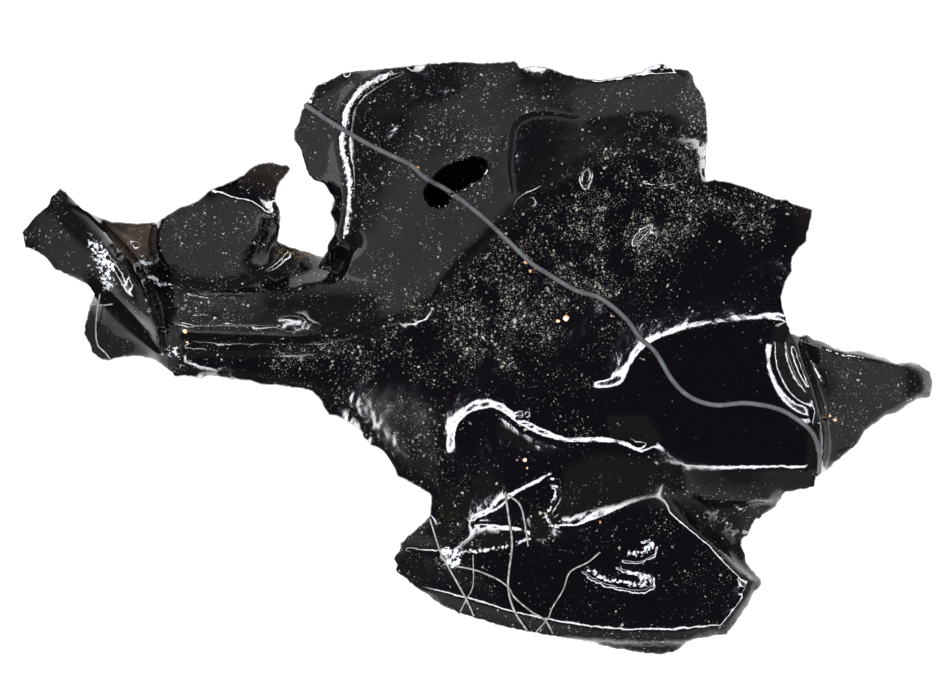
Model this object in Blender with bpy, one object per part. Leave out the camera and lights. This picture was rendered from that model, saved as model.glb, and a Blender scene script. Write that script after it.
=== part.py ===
"""Obsidian chunk: a small, sharp-edged fragment of black volcanic glass, one solid piece.

The fragment is a thick centre with thin plates, blades and spikes running out of it.  Its
upper side is made of conchoidal fracture faces: smooth plates, rounded rolls, a dished valley
and cliffs where one break cut across another.  Its underside rises from a small flat face,
on which it rests, to the thin rims.

Plan coordinates are in drawing units of a sixtieth of a millimetre, x to the right and y down
the sheet.  Heights and thicknesses are in millimetres above the resting face.
"""
import math

import bmesh
import bpy
import numpy as np
from mathutils.geometry import delaunay_2d_cdt

# ---------------------------------------------------------------- driving dimensions
UNIT_MM = 1.0 / 60.0        # one drawing unit, in millimetres
MM = 0.001                  # metres in a millimetre
TOP_FACET = 11.0            # spacing of the facets on the upper side, drawing units
UNDER_FACET = 19.0          # spacing of the facets on the underside, drawing units
LINE_FACET = 8.5            # spacing of the points along ridges, cliffs and the rim
LEAST_WALL_MM = 0.12        # least thickness away from the rims
PORE_LONG_MM = 0.53         # half length of the gas bubble opened on the high plate
PORE_SHORT_MM = 0.235       # half width of the same bubble
PORE_DEPTH_MM = 0.42        # how deep the bubble goes
PORE_CENTRE = (458.5, 176.0)
PORE_TURN_DEG = -25.0       # how the bubble is turned on the sheet
GRID = 2.0                  # spacing of the height field, drawing units
SHEET = (951, 684)          # size of the sheet, drawing units
RELAX = 1.7                 # how boldly each pass moves the skin toward its rest
SOFT = (1.0, 4.0)           # the two blurs that round the lines, drawing units
CLEAR = 4.0                 # least distance from the rim to a line's facet points
STRAY = 0.22                # how far a loose facet point strays, in spacings
APART = 0.62                # least distance between facet points, in spacings
ROW = math.sqrt(3) / 2      # height of a row of even facets, in spacings
SEED = 7                    # keeps the facets' slight unevenness the same each time
GLASS_BLACK = (0.012, 0.012, 0.014, 1.0)

# ---------------------------------------------------------------- outline and fracture lines
RIM = []                    # (x, y, height, rim thickness), clockwise on the sheet
TOP = []                    # (rounding, [(x, y, height), ...]) for the upper side
CREASES = []                # lines of TOP that the facets follow
DOMES = []                  # (bulge per millimetre, [(x, y), ...])
UNDER = []                  # [(x, y, height), ...] for the underside


def rim(name, thickness, *points):
    """One stretch of the outline, with the thickness of its broken edge."""
    RIM.extend((x, y, z, thickness) for x, y, z in points)


def curve(points, parts=4):
    """A smooth curve through the points (Catmull-Rom)."""
    p = np.array(points, float)
    if len(p) < 3:
        return p
    e = np.vstack([2 * p[0] - p[1], p, 2 * p[-1] - p[-2]])
    out = []
    for i in range(1, len(e) - 2):
        a, b, c, d = e[i - 1:i + 3]
        for t in np.arange(parts) / parts:
            out.append(0.5 * (2 * b + (c - a) * t + (2 * a - 5 * b + 4 * c - d) * t ** 2
                              + (3 * b - a - 3 * c + d) * t ** 3))
    return np.array(out + [p[-1]])


def ridge(name, rounding, *points):
    """A line that the upper side runs through: a crest, a foot or the bed of a hollow."""
    line = curve(points)
    TOP.append((rounding, line))
    CREASES.append(line[:, :2])


def step(name, rounding, gap, *points):
    """A cliff: x, y, height of the lip, height of the foot, which lies gap to the right."""
    lip, foot = [], []
    for i, (x, y, high, low) in enumerate(points):
        before, after = points[max(i - 1, 0)], points[min(i + 1, len(points) - 1)]
        dx, dy = after[0] - before[0], after[1] - before[1]
        run = math.hypot(dx, dy)
        lip.append((x, y, high))
        foot.append((x - dy / run * gap, y + dx / run * gap, low))
    ridge(name + "_lip", rounding, *lip)
    ridge(name + "_foot", rounding, *foot)


def dome(name, bulge, *polygon):
    """A region whose surface bulges like a drawn skin."""
    DOMES.append((bulge, polygon))


def under(name, *points):
    """A line that the underside runs through."""
    UNDER.append(curve(points))


rim("blade_top", 0.35, (57, 190, 3), (61, 187.5, 3.05), (67.5, 192, 3.05))
rim("web", 0.2, (76.5, 203, 2.45), (85.5, 210, 2.2), (98, 216.7, 2), (113, 221, 1.9),
    (130, 222.3, 1.85), (145, 222.2, 1.85), (156, 221.5, 2))
rim("disc", 0.22, (161, 219, 2.75), (168.5, 213.5, 2.8), (181, 206.5, 2.85), (197.5, 200.5, 2.9),
    (204, 194, 2.93), (213, 187.5, 2.95), (227, 183, 2.95), (242, 174.5, 2.94),
    (253, 165.8, 2.92), (264, 161.9, 2.9), (273, 161.9, 2.88), (281.5, 164.7, 2.87),
    (288, 164.7, 2.85), (291.5, 168.5, 2.84), (287, 175, 2.85), (280, 183, 2.86),
    (277.5, 191, 2.87), (276, 199.5, 2.87), (280, 209, 2.8), (281.3, 219, 2.62),
    (279.5, 230, 2.4), (278, 241, 2.15))
rim("notch", 0.08, (282.5, 243.5, 1.9), (291, 246.5, 1.8), (302, 250, 1.75), (313, 253, 1.75),
    (322.5, 256.5, 1.9))
rim("crown_left", 0.3, (327, 250.5, 3.15), (328, 242, 3.3), (334.5, 233, 3.45), (333.4, 221, 3.5),
    (330, 212.7, 3.5), (333, 201, 3.56), (329, 192, 3.56), (324.5, 184.3, 3.54),
    (315, 181.5, 3.46), (308, 174.5, 3.42), (303, 163.5, 3.42), (300.7, 150.5, 3.44),
    (294.2, 142, 3.42), (293.5, 131, 3.46), (298.5, 122, 3.54), (301, 111, 3.6),
    (310.5, 96, 3.68), (315, 86, 3.72), (332, 78.5, 3.84), (343.5, 72.5, 3.94))
rim("crown_top", 0.25, (361, 70.8, 3.9), (391, 68, 4.08), (413, 65.4, 4.08), (435, 62.8, 4.02),
    (461, 61.7, 3.92), (481.5, 63, 3.82), (505.5, 62, 3.7), (514, 60.7, 3.66), (518, 63, 3.62),
    (521, 68.3, 3.55), (535, 65.4, 3.52), (553, 69, 3.48), (569, 74.5, 3.42), (588, 79.3, 3.38),
    (603.5, 79, 3.38), (619, 76.8, 3.4), (639, 72, 3.45), (648, 66.8, 3.48), (662, 62.9, 3.48),
    (671.3, 67.8, 3.45), (687, 69.5, 3.35))
rim("crown_right", 0.3, (693, 75, 3.3), (695.3, 84, 3.18), (702.5, 93, 2.98), (706.5, 104, 2.84),
    (708, 120.4, 2.74), (708.6, 130, 2.7), (707, 153, 2.66), (705.6, 171, 2.64), (707, 180, 2.66))
rim("shelf", 0.3, (714.4, 178.5, 2.7), (732.7, 182.3, 2.7), (749.3, 187.6, 2.71),
    (764.2, 193.4, 2.71), (776, 198.2, 2.71), (787.4, 199, 2.7), (797.3, 204.2, 2.7),
    (813, 209.2, 2.68), (812.3, 217.5, 2.69), (809, 230.7, 2.72), (807, 242.3, 2.73),
    (798, 250.3, 2.78), (793.4, 258, 2.81), (792.6, 271.3, 2.84), (786, 282, 2.88))
rim("roll_right", 0.6, (781.8, 297.8, 2.94), (784.3, 309.5, 2.96), (787, 318.6, 2.965),
    (789.5, 327.7, 2.94), (791.3, 333, 2.89))
rim("spike", 0.25, (799, 335.6, 2.7), (806.5, 334, 2.65), (813, 338.7, 2.6), (825, 341.5, 2.5),
    (833, 346.8, 2.45), (847, 351, 2.35), (861, 349.5, 2.25), (872, 353.5, 2.2),
    (885.4, 357, 2.1), (895, 362.5, 2), (903, 362, 1.9), (911, 360.3, 1.8), (921, 364.3, 1.7),
    (931.3, 371, 1.6), (933.8, 378, 1.55), (933.6, 390, 1.5), (931, 397.8, 1.5),
    (920.6, 399.5, 1.55), (908.3, 405.5, 1.6), (898, 413.5, 1.65), (887, 415.5, 1.7),
    (877.7, 423, 1.75), (866, 431.5, 1.8), (859.5, 442, 1.85), (855, 447.5, 1.85),
    (847, 454.4, 1.85), (838, 462, 1.85), (826.5, 472, 1.9))
rim("roll_edge", 0.5, (821, 474, 2.9), (817.3, 478, 2.9), (815, 487.3, 2.84), (806, 490.2, 2.82),
    (793.6, 492, 2.8), (785, 493, 2.78))
rim("flank", 0.4, (780.3, 501, 2.46), (774.3, 509.6, 2.4), (763.6, 515, 2.38), (760.5, 521, 2.34),
    (756, 520.5, 2.35), (751.3, 528.8, 2.3), (748.3, 537.2, 2.27), (743, 538.7, 2.28),
    (742.2, 545.6, 2.26), (746, 554, 2.22), (747.5, 562.5, 2.21), (754.4, 571, 2.22),
    (761.3, 579.3, 2.26), (762, 584.5, 2.3))
rim("bowl_tip", 0.7, (759, 589.2, 2.52), (753.6, 594.6, 2.46), (749.8, 603.8, 2.42),
    (743.7, 613, 2.4), (736, 623.7, 2.4), (727, 635.8, 2.42), (720.7, 636.2, 2.42))
rim("keel", 0.5, (707, 638, 2.36), (694.7, 639.8, 2.28), (687, 643.6, 2.22), (681, 649.7, 2.19),
    (673.3, 653.5, 2.17), (659.5, 655.5, 2.16), (645.7, 654.3, 2.17), (630.4, 652, 2.18),
    (610.5, 649, 2.22), (591, 643, 2.29), (575.3, 640.5, 2.36))
rim("bowl_rim", 0.8, (558.6, 638, 2.55), (531.8, 634.5, 2.52), (505, 628.2, 2.47),
    (480, 621, 2.43), (458.6, 614, 2.39), (440.7, 606, 2.36), (426.4, 596, 2.34),
    (412, 585.4, 2.33), (398, 574.6, 2.32), (393.4, 570, 2.31), (395.2, 564.8, 2.33),
    (392.5, 558.6, 2.33), (395.2, 553.2, 2.36), (399, 549.6, 2.38), (399.6, 543.4, 2.36),
    (406.8, 535.4, 2.34), (415.7, 527.3, 2.3), (424.6, 521, 2.26))
rim("waist", 0.36, (429.2, 515.7, 2.38), (430.5, 496, 2.4), (420.3, 489, 2.4),
    (406.8, 481.5, 2.39), (396.3, 476.5, 2.38), (393.5, 467.5, 2.38), (387.5, 456.6, 2.36),
    (382.4, 450.8, 2.35), (370, 446, 2.31), (362.8, 438.2, 2.28), (360.5, 431, 2.28),
    (351.6, 425, 2.23), (343, 420, 2.19), (336, 416.9, 2.17), (328.4, 415.6, 2.15),
    (321, 405, 2.13), (317, 397.5, 2.12), (311, 391.9, 2.1), (303, 389.5, 2.08),
    (291, 388.2, 2.06))
rim("spine_under", 0.34, (280, 386.8, 2.02), (260.3, 385, 2), (249, 381.5, 2), (232, 380.8, 1.98),
    (217, 376.6, 1.98), (209.8, 375.9, 1.97), (201.4, 379.2, 1.95), (190, 377.3, 1.92),
    (173, 377.5, 1.88), (167.7, 370.5, 1.88), (159.3, 363.3, 1.88))
rim("stub", 0.42, (149, 359.1, 1.62), (134.5, 356.8, 1.48), (120, 358.3, 1.38),
    (108.5, 362.2, 1.3), (98, 359.1, 1.3), (90.3, 353, 1.32), (85.7, 340.7, 1.36),
    (82, 334.6, 1.38), (82.5, 327, 1.4), (85.7, 314.7, 1.44), (89.5, 302.5, 1.5),
    (93.4, 294.5, 1.56))
rim("blade_left", 0.6, (90, 287, 2.7), (79.6, 281, 2.72), (67.4, 275.7, 2.72),
    (53.6, 270.3, 2.72), (49.7, 263.4, 2.74), (43, 256.5, 2.72), (33.7, 251.2, 2.7),
    (24, 248, 2.66), (23, 241, 2.66), (21.4, 232, 2.68), (27.6, 223.6, 2.74), (36.7, 213, 2.82),
    (47.5, 205.3, 2.92), (52, 195.3, 2.98))

# --- left blade ---
ridge("blade_shoulder", 5, (66, 212, 3.05), (84, 238, 3.1), (98, 247, 3.12), (110, 260, 3.12),
      (119, 278, 3.08), (123, 297, 3), (130, 299, 3), (138, 308, 2.92), (143, 315, 2.85))
step("blade_crest", 2, 4, (161, 352, 2.5, 2.15), (158, 330, 2.75, 2.2), (152, 306, 2.9, 2),
     (143, 286, 2.98, 1.65), (130, 262, 3.02, 1.6), (112, 241, 3.02, 1.75), (95, 223, 3, 1.85),
     (80, 207, 3, 2.1))
ridge("blade_low", 3, (62, 252, 2.88), (80, 266, 2.9), (97, 283, 2.85))
ridge("blade_foot", 3, (96, 297, 2.3), (112, 303, 2.1), (124, 318, 2), (136, 326, 2),
      (150, 342, 2.15))
ridge("stub_edge", 2, (95, 303, 1.62), (96, 322, 1.52), (98, 340, 1.46), (113, 338, 1.52),
      (130, 340, 1.62), (146, 348, 1.8), (156, 357, 1.98))

# --- web hollow ---
ridge("web_foot", 3, (138, 256, 1.5), (148, 258, 1.5), (156, 262, 1.7))
ridge("web_back", 3, (112, 236, 1.75), (130, 240, 1.62), (145, 241, 1.65))

# --- disc ---
step("disc_left", 2, 3.5, (160, 223, 2.7, 1.95), (156, 232, 2.62, 1.85), (155.5, 245, 2.52, 1.75),
     (159, 258, 2.42, 1.72), (168, 268, 2.35, 2))
ridge("disc_crest", 1, (221, 188.7, 2.96), (235.6, 195.2, 2.97), (248.7, 197.4, 2.96),
      (260, 204, 2.93), (271, 213, 2.88), (277, 209, 2.86))
ridge("disc_valley", 4, (170, 272, 2.15), (185, 279, 2.05), (210, 284, 2), (240, 282, 1.98),
      (263, 272, 1.9), (276, 262, 1.85), (283, 252, 1.8))
ridge("disc_mid", 8, (175, 245, 2.45), (205, 240, 2.5), (240, 240, 2.48), (262, 243, 2.35))

# --- notch floor and spine ---
ridge("notch_foot", 3, (270, 283, 2), (288, 276, 1.95), (308, 272, 2), (330, 266, 2.3),
      (345, 256, 2.75))
ridge("spine_top", 1.5, (172, 283, 2.08), (200, 292, 2.15), (232, 293, 2.18), (262, 291, 2.2),
      (300, 290, 2.24), (325, 284, 2.48), (345, 282, 2.76), (375, 284, 2.8), (405, 282, 2.76),
      (428, 276, 2.72))
ridge("spine_crest", 1.5, (166, 326, 2.34), (180, 323, 2.4), (200, 326, 2.44), (224, 325, 2.46),
      (243, 325.5, 2.47), (260, 327.5, 2.47), (276, 327, 2.48), (290, 330, 2.48),
      (303, 330, 2.48), (310, 324, 2.49))
ridge("spine_shelf", 1.5, (176, 306, 2.26), (205, 308, 2.32), (240, 309, 2.35), (280, 310, 2.38),
      (310, 310, 2.42), (345, 312, 2.47), (380, 311, 2.5), (410, 304, 2.52))
step("spine_under", 1, 4, (186, 335, 2.22, 2), (205, 336, 2.27, 2.05), (235, 337, 2.3, 2.08),
     (270, 338, 2.31, 2.11), (300, 339, 2.32, 2.15), (340, 334, 2.36, 2.21),
     (375, 323, 2.4, 2.27), (400, 315, 2.44, 2.32))
ridge("strip", 4, (178, 360, 1.99), (200, 362, 2.02), (240, 364, 2.05), (280, 366, 2.08),
      (320, 371, 2.13), (343, 381, 2.18), (364, 394, 2.26), (385, 418, 2.35), (406, 447, 2.43),
      (420, 464, 2.43), (427, 478, 2.42), (430, 488, 2.4))
ridge("strip_inner", 4, (343, 372, 2.16), (365, 380, 2.24))

# --- crown: left face, ridge, plate ---
ridge("crown_ridge", 1.2, (336, 246, 3.76), (345, 238, 3.8), (350, 226, 3.83), (354, 207, 3.88),
      (354, 188, 3.93), (353, 170, 3.98), (349, 157, 4.01), (347, 142, 4.04), (350, 130, 4.06),
      (350, 116, 4.09), (356, 105, 4.12), (364, 95, 4.14), (375, 88, 4.15), (388, 80, 4.15),
      (405, 73, 4.14))
ridge("crown_facet", 1, (312, 104, 3.66), (324, 96, 3.74), (338, 88, 3.84), (350, 82, 3.94))
ridge("plate_low", 6, (345, 268, 3.05), (370, 274, 2.98), (395, 272, 2.95), (420, 262, 2.92),
      (445, 246, 2.9), (470, 226, 2.88), (490, 210, 2.87))
ridge("plate_mid", 8, (398, 238, 3.26), (425, 215, 3.22), (445, 202, 3.18), (470, 184, 3.14),
      (488, 160, 3.16), (500, 130, 3.26))
ridge("plate_bend", 6, (386, 225, 3.54), (390, 195, 3.67), (386, 168, 3.78), (381, 142, 3.87),
      (388, 122, 3.9), (406, 110, 3.92), (430, 102, 3.88), (460, 100, 3.8))
step("plate_edge", 1, 5, (428, 300, 2.54, 2.37), (442, 280, 2.58, 2.41), (460, 260, 2.62, 2.46),
     (480, 240, 2.66, 2.51), (500, 222, 2.69, 2.56), (512, 212, 2.71, 2.59),
     (528, 200, 2.72, 2.62))

# --- hollow on the crown ---
step("hollow_left", 1, 5, (510, 192, 2.86, 2.74), (507, 172, 2.98, 2.84), (508, 150, 3.12, 2.94),
     (511, 130, 3.22, 3.02), (520, 117, 3.28, 3.07), (545, 111, 3.24, 3.07),
     (577, 116, 3.14, 3.01))
ridge("hollow_lip", 1, (514, 202, 2.69), (535, 190, 2.68), (560, 177, 2.69), (585, 162, 2.71),
      (602, 154, 2.73))
ridge("back_face_low", 1.5, (586, 118, 2.98), (610, 114, 2.99), (640, 110, 2.98),
      (660, 110, 2.97), (672, 116, 2.93))
ridge("back_face_top", 1, (592, 84, 3.36), (620, 82, 3.38), (650, 77, 3.44), (672, 74, 3.45),
      (686, 76, 3.36))
ridge("corner", 1.5, (686, 76, 3.4), (682, 94, 3.18), (676, 112, 2.96), (674, 132, 2.84))
ridge("dust_lip", 1, (614, 153, 2.735), (632, 151, 2.74), (655, 151, 2.74), (675, 157, 2.73),
      (692, 177, 2.71))

# --- shelf ---
ridge("shelf_rim", 6, (645, 226, 2.68), (665, 213, 2.7), (690, 202, 2.72), (715, 197, 2.73),
      (740, 200, 2.73), (760, 206, 2.72), (785, 212, 2.69))

# --- roll ---
ridge("roll_foot", 8, (545, 352, 2.68), (560, 322, 2.69), (585, 290, 2.71), (615, 262, 2.75),
      (650, 245, 2.78), (690, 240, 2.8), (725, 240, 2.8), (760, 245, 2.8), (784, 255, 2.8))
ridge("roll_flank", 8, (582, 354, 2.8), (600, 322, 2.81), (625, 302, 2.85), (652, 289, 2.88),
      (682, 282, 2.905), (712, 276, 2.905), (740, 273, 2.9), (782, 274, 2.875))
ridge("roll_upper", 1.5, (594.5, 389, 2.85), (611.7, 387, 2.9), (623, 382.5, 2.935),
      (629, 372, 2.95), (636.5, 357, 2.975), (650, 345, 3.01), (667, 337.5, 3.04),
      (690, 331.5, 3.065), (713, 327, 3.07), (742, 323, 3.06), (770, 321.5, 3.03),
      (788, 322, 2.99))
ridge("roll_lower", 1.5, (682, 464, 3), (700, 464, 3.03), (726, 463, 3.06), (750, 463, 3.06),
      (775, 463, 3.05), (800, 464, 3.02), (812, 465, 2.99))
ridge("roll_under", 1, (690, 484, 2.87), (720, 484, 2.94), (750, 484, 2.94), (786, 482, 2.9))
step("roll_hem", 1, 4, (697, 497, 2.74, 2.6), (712, 501, 2.77, 2.56), (740, 502, 2.79, 2.52),
     (770, 499, 2.8, 2.5))
ridge("roll_end", 1.5, (775, 343, 3.03), (773, 352, 3.05), (774, 366, 3.06), (782, 386, 3.06),
      (796, 401, 3.03), (812, 408, 2.98))
ridge("roll_crease", 2, (789, 345, 2.93), (795, 362, 2.94), (803, 380, 2.93), (811, 393, 2.9))
step("roll_cliff", 1.5, 4.5, (821, 470, 2.84, 1.95), (822, 450, 2.92, 2.05),
     (822, 430, 2.94, 2.15), (819, 408, 2.95, 2.3), (812, 385, 2.93, 2.42), (803, 362, 2.93, 2.5),
     (796, 342, 2.92, 2.6))
ridge("roll_edge_low", 4, (813, 468, 2.96), (816, 450, 2.99), (815, 430, 3), (813, 414, 2.98))

# --- spike ---
ridge("spike_crest", 1.5, (798, 341.5, 2.78), (813, 344.5, 2.74), (830, 349, 2.67),
      (850, 354, 2.58), (870, 358.5, 2.48), (890, 362.5, 2.36), (908, 366, 2.22))
ridge("spike_low", 3, (824, 458, 1.95), (842, 444, 1.95), (855, 440, 1.9), (862, 432, 1.88),
      (880, 419, 1.85), (900, 408, 1.8), (915, 400, 1.78))
ridge("spike_tip", 2, (908, 366, 2.22), (917, 374, 2.08), (922, 384, 1.95), (920, 394, 1.85))

# --- middle lobe ---
ridge("lobe_rim", 1.5, (455, 452, 2.53), (455, 440, 2.56), (458, 428, 2.58), (465, 418, 2.6),
      (474, 412, 2.62), (488, 408, 2.66), (500, 412, 2.7), (513, 422, 2.745), (527, 431, 2.785),
      (545, 439, 2.83), (563, 445, 2.86), (581, 445, 2.88), (600, 444.5, 2.9), (613, 445, 2.92),
      (626, 449, 2.93), (637, 456, 2.94), (651, 451, 2.96))
ridge("lobe_bed", 6, (482, 478, 2.575), (500, 472, 2.635), (530, 464, 2.735), (560, 460, 2.81),
      (590, 460, 2.86), (615, 460, 2.89))
ridge("lobe_left", 4, (438, 440, 2.5), (442, 457, 2.485), (447, 475, 2.475), (456, 494, 2.475),
      (462, 508, 2.49))
ridge("lobe_west", 4, (461, 462, 2.53), (466, 476, 2.53), (475, 490, 2.535))

# --- bottom bowl ---
ridge("bowl_west_edge", 1, (403, 549.5, 2.47), (424.6, 552, 2.51), (442.5, 553.2, 2.55),
      (458.6, 551, 2.58), (478, 549, 2.63))
ridge("bowl_west_tail", 1, (484, 548.4, 2.65), (505, 545.8, 2.69), (523, 541.6, 2.73),
      (532, 534.5, 2.74))
ridge("fold_lower", 1, (467.5, 523.8, 2.53), (476.4, 526.4, 2.56), (494.3, 528, 2.62),
      (515.7, 530, 2.69), (532, 534.5, 2.74))
ridge("fold_upper", 1, (467.5, 523.8, 2.53), (485.4, 515.7, 2.59), (494.3, 510.4, 2.62),
      (508.6, 499.6, 2.68), (526.4, 488.9, 2.73), (540.7, 481.8, 2.77), (555, 474, 2.81))
ridge("bowl_crest", 1.2, (547, 487, 2.79), (556.8, 489, 2.81), (559, 496, 2.82),
      (552, 508.6, 2.8), (545, 520, 2.79), (555, 526.4, 2.83), (569.3, 527.3, 2.87),
      (585.4, 524.6, 2.92), (600, 520, 2.94), (615, 513, 2.96), (629, 506.6, 2.97),
      (645.7, 500.5, 2.97), (658, 499.7, 2.96), (666, 506, 2.94), (670.5, 516.5, 2.92),
      (682.5, 526.5, 2.9), (694.7, 536.4, 2.87), (710, 548.7, 2.83), (722.3, 562.5, 2.78),
      (736, 576.2, 2.74), (751.3, 587, 2.7))
ridge("bowl_crest_foot", 3, (567, 476, 2.82), (577, 490, 2.82), (570, 509, 2.83),
      (582, 511, 2.855), (600, 504, 2.885), (618, 497, 2.9), (640, 486, 2.92), (662, 484, 2.91),
      (682, 500, 2.72), (698, 518, 2.6), (718, 538, 2.46), (737, 560, 2.34), (753, 577, 2.3))
ridge("bowl_neck", 3, (440, 512, 2.38), (457, 519, 2.42), (438, 534, 2.42), (420, 538, 2.38))
ridge("bowl_lower", 1.2, (412, 579, 2.46), (423, 586, 2.48), (442.5, 590, 2.52), (464, 596, 2.56),
      (487, 602, 2.61), (505, 607.5, 2.65), (531.8, 613.5, 2.68), (558.6, 619, 2.69),
      (590, 624, 2.7), (621, 627, 2.7), (650, 628, 2.69), (680, 627, 2.67), (707, 625, 2.65),
      (725, 624, 2.63))
ridge("bowl_right", 1, (750, 591, 2.67), (742, 603, 2.65), (733, 615, 2.63), (727, 622, 2.62))
ridge("bowl_bend", 3, (514, 551, 2.71), (513, 570, 2.69), (510, 590, 2.66))
step("bowl_keel", 1, 3, (568, 637.3, 2.58, 2.42), (590, 638.5, 2.6, 2.36), (620, 641, 2.6, 2.3),
     (650, 642, 2.59, 2.28), (680, 640.5, 2.57, 2.32), (708, 637, 2.52, 2.4))

# --- hackly ground behind the bowl ---
ridge("hackle_a", 4, (600, 470, 2.88), (625, 464, 2.9), (650, 462, 2.93), (672, 467, 2.95))
ridge("hackle_b", 4, (592, 488, 2.865), (620, 479, 2.895), (650, 474, 2.92), (676, 479, 2.89))
ridge("flank_rib", 2, (700, 500, 2.56), (712, 525, 2.44), (728, 545, 2.32))
ridge("flank_ledge", 2, (735, 503, 2.52), (733, 515, 2.44), (726, 528, 2.37))

# --- dusty valley ---
ridge("valley_bed", 8, (190, 347, 2), (215, 351, 2.04), (260, 354, 2.09), (310, 352, 2.15),
      (350, 346, 2.2), (395, 332, 2.27), (440, 320, 2.36), (480, 300, 2.43), (520, 265, 2.51),
      (560, 230, 2.58), (600, 200, 2.64), (640, 170, 2.7))
ridge("valley_low", 8, (380, 350, 2.27), (425, 345, 2.36), (470, 340, 2.47), (510, 330, 2.55))
ridge("valley_edge", 6, (335, 354, 2.17), (375, 362, 2.27), (415, 370, 2.38))
ridge("roll_west", 4, (606, 412, 2.89), (640, 430, 2.98), (668, 446, 3.02))
dome("roll", 0.11, (612, 395), (632, 380), (645, 358), (690, 340), (782, 330), (775, 345),
     (782, 388), (808, 412), (808, 458), (682, 458), (640, 430))
dome("bowl", 0.08, (520, 549), (560, 532), (658, 506), (740, 587), (720, 618), (600, 618),
     (516, 600))

# ---------------------------------------------------------------- underside
under("blade", (60, 215, 2.3), (95, 262, 2.1), (135, 305, 1.6), (165, 342, 1.1))
under("stub", (100, 335, 0.85), (125, 340, 0.8))
under("web", (125, 238, 1.5), (148, 262, 1.3), (165, 290, 1.2))
under("disc", (185, 235, 1.9), (215, 228, 1.95), (250, 225, 1.95))
under("disc_root", (180, 292, 1.3), (215, 300, 1.25), (260, 290, 1.2), (310, 285, 1.25))
under("arete_west", (450, 345, 0), (400, 352, 0.3), (340, 356, 0.6), (270, 354, 0.82),
      (200, 350, 0.98), (165, 345, 1.1))
under("arete_crown", (475, 335, 0), (450, 290, 0.7), (430, 240, 1.45), (415, 190, 2.15),
      (400, 140, 2.75), (388, 100, 3.2))
under("arete_back", (600, 300, 0), (598, 250, 0.75), (590, 200, 1.3), (586, 150, 1.85),
      (590, 112, 2.35))
under("arete_shelf", (720, 345, 0), (735, 300, 0.75), (748, 262, 1.3), (765, 232, 1.75))
under("arete_spike", (735, 390, 0), (775, 398, 0.6), (815, 395, 1.1), (860, 390, 1.32),
      (905, 384, 1.32))
under("arete_heel", (670, 480, 0), (690, 520, 0.6), (710, 558, 1.05), (733, 590, 1.35))
under("arete_bowl", (570, 490, 0), (566, 535, 0.6), (562, 585, 1.15), (560, 618, 1.45))
under("arete_toe", (480, 450, 0), (462, 500, 0.6), (437, 545, 1.15), (415, 568, 1.35))
under("crown_left", (345, 110, 3), (350, 150, 2.95), (356, 200, 2.6), (352, 240, 2.1))
under("corner", (660, 110, 2.45), (672, 150, 2.2), (676, 190, 1.9))
under("strip", (370, 420, 1.05), (395, 450, 0.9), (415, 475, 0.95))
under("flank", (728, 530, 1.2), (738, 560, 1.3))
BASE_FACE = [(450, 345), (475, 335), (540, 306), (600, 300), (660, 308), (720, 345), (735, 390),
             (728, 440), (670, 480), (620, 478), (570, 490), (525, 472), (480, 450), (462, 400)]


# ---------------------------------------------------------------- height field
def inside(polygon, x, y):
    """True where the points x, y lie inside the polygon."""
    hit = np.zeros(np.shape(x), bool)
    for (x0, y0), (x1, y1) in zip(polygon, polygon[1:] + polygon[:1]):
        crosses = (y0 > y) != (y1 > y)
        if y0 != y1:
            hit ^= crosses & (x < (x1 - x0) * (y - y0) / (y1 - y0) + x0)
    return hit


def cells(h):
    """The x and y of a field's cells at spacing h."""
    return np.meshgrid(np.arange(int(SHEET[0] / h) + 2) * h, np.arange(int(SHEET[1] / h) + 2) * h)


def drawn(lines, h):
    """The mean height of the lines in each cell they pass through, and where they do."""
    x, _ = cells(h)
    total, count = np.zeros(x.shape), np.zeros(x.shape)
    for line in lines:
        for a, b in zip(line[:-1], line[1:]):
            n = max(1, int(math.hypot(b[0] - a[0], b[1] - a[1]) / (h * 0.5)))
            q = a[:3] + (b[:3] - a[:3]) * (np.arange(n + 1) / n)[:, None]
            col = np.clip(np.rint(q[:, 0] / h).astype(int), 0, x.shape[1] - 1)
            row = np.clip(np.rint(q[:, 1] / h).astype(int), 0, x.shape[0] - 1)
            np.add.at(total, (row, col), q[:, 2])
            np.add.at(count, (row, col), 1)
    return total / np.maximum(count, 1), count > 0


def finer(z, shape, ratio):
    """The field z read at a finer spacing."""
    y = np.clip(np.arange(shape[0]) * ratio, 0, z.shape[0] - 1.001)
    x = np.clip(np.arange(shape[1]) * ratio, 0, z.shape[1] - 1.001)
    i, j = y.astype(int), x.astype(int)
    v, u = (y - i)[:, None], (x - j)[None, :]
    return (z[i][:, j] * (1 - v) * (1 - u) + z[i][:, j + 1] * (1 - v) * u
            + z[i + 1][:, j] * v * (1 - u) + z[i + 1][:, j + 1] * v * u)


def skin(lines, domes=(), flat=None):
    """Heights of a skin drawn tight over the lines, from coarse to fine."""
    z, last = None, None
    for h, rounds in ((32, 300), (16, 120), (8, 80), (4, 60), (GRID, 40)):
        x, y = cells(h)
        held, fixed = drawn(lines, h)
        if flat:
            level = inside(flat, x, y)
            held, fixed = np.where(level, 0.0, held), fixed | level
        if z is None:
            z = np.full(x.shape, held[fixed].mean())
        else:
            z = finer(z, x.shape, h / last)
        z = np.where(fixed, held, z)
        push = np.zeros(x.shape)
        for bulge, polygon in domes:
            push += np.where(inside(list(polygon), x, y), bulge * (h * UNIT_MM) ** 2 / 4, 0)
        even = (np.add.outer(np.arange(x.shape[0]), np.arange(x.shape[1])) % 2) == 0
        for _ in range(rounds):
            for half in (~fixed & even, ~fixed & ~even):
                p = np.pad(z, 1, mode="edge")
                mean = (p[:-2, 1:-1] + p[2:, 1:-1] + p[1:-1, :-2] + p[1:-1, 2:]) * 0.25 + push
                z = np.where(half, z + RELAX * (mean - z), z)
        last = h
    return z


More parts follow.
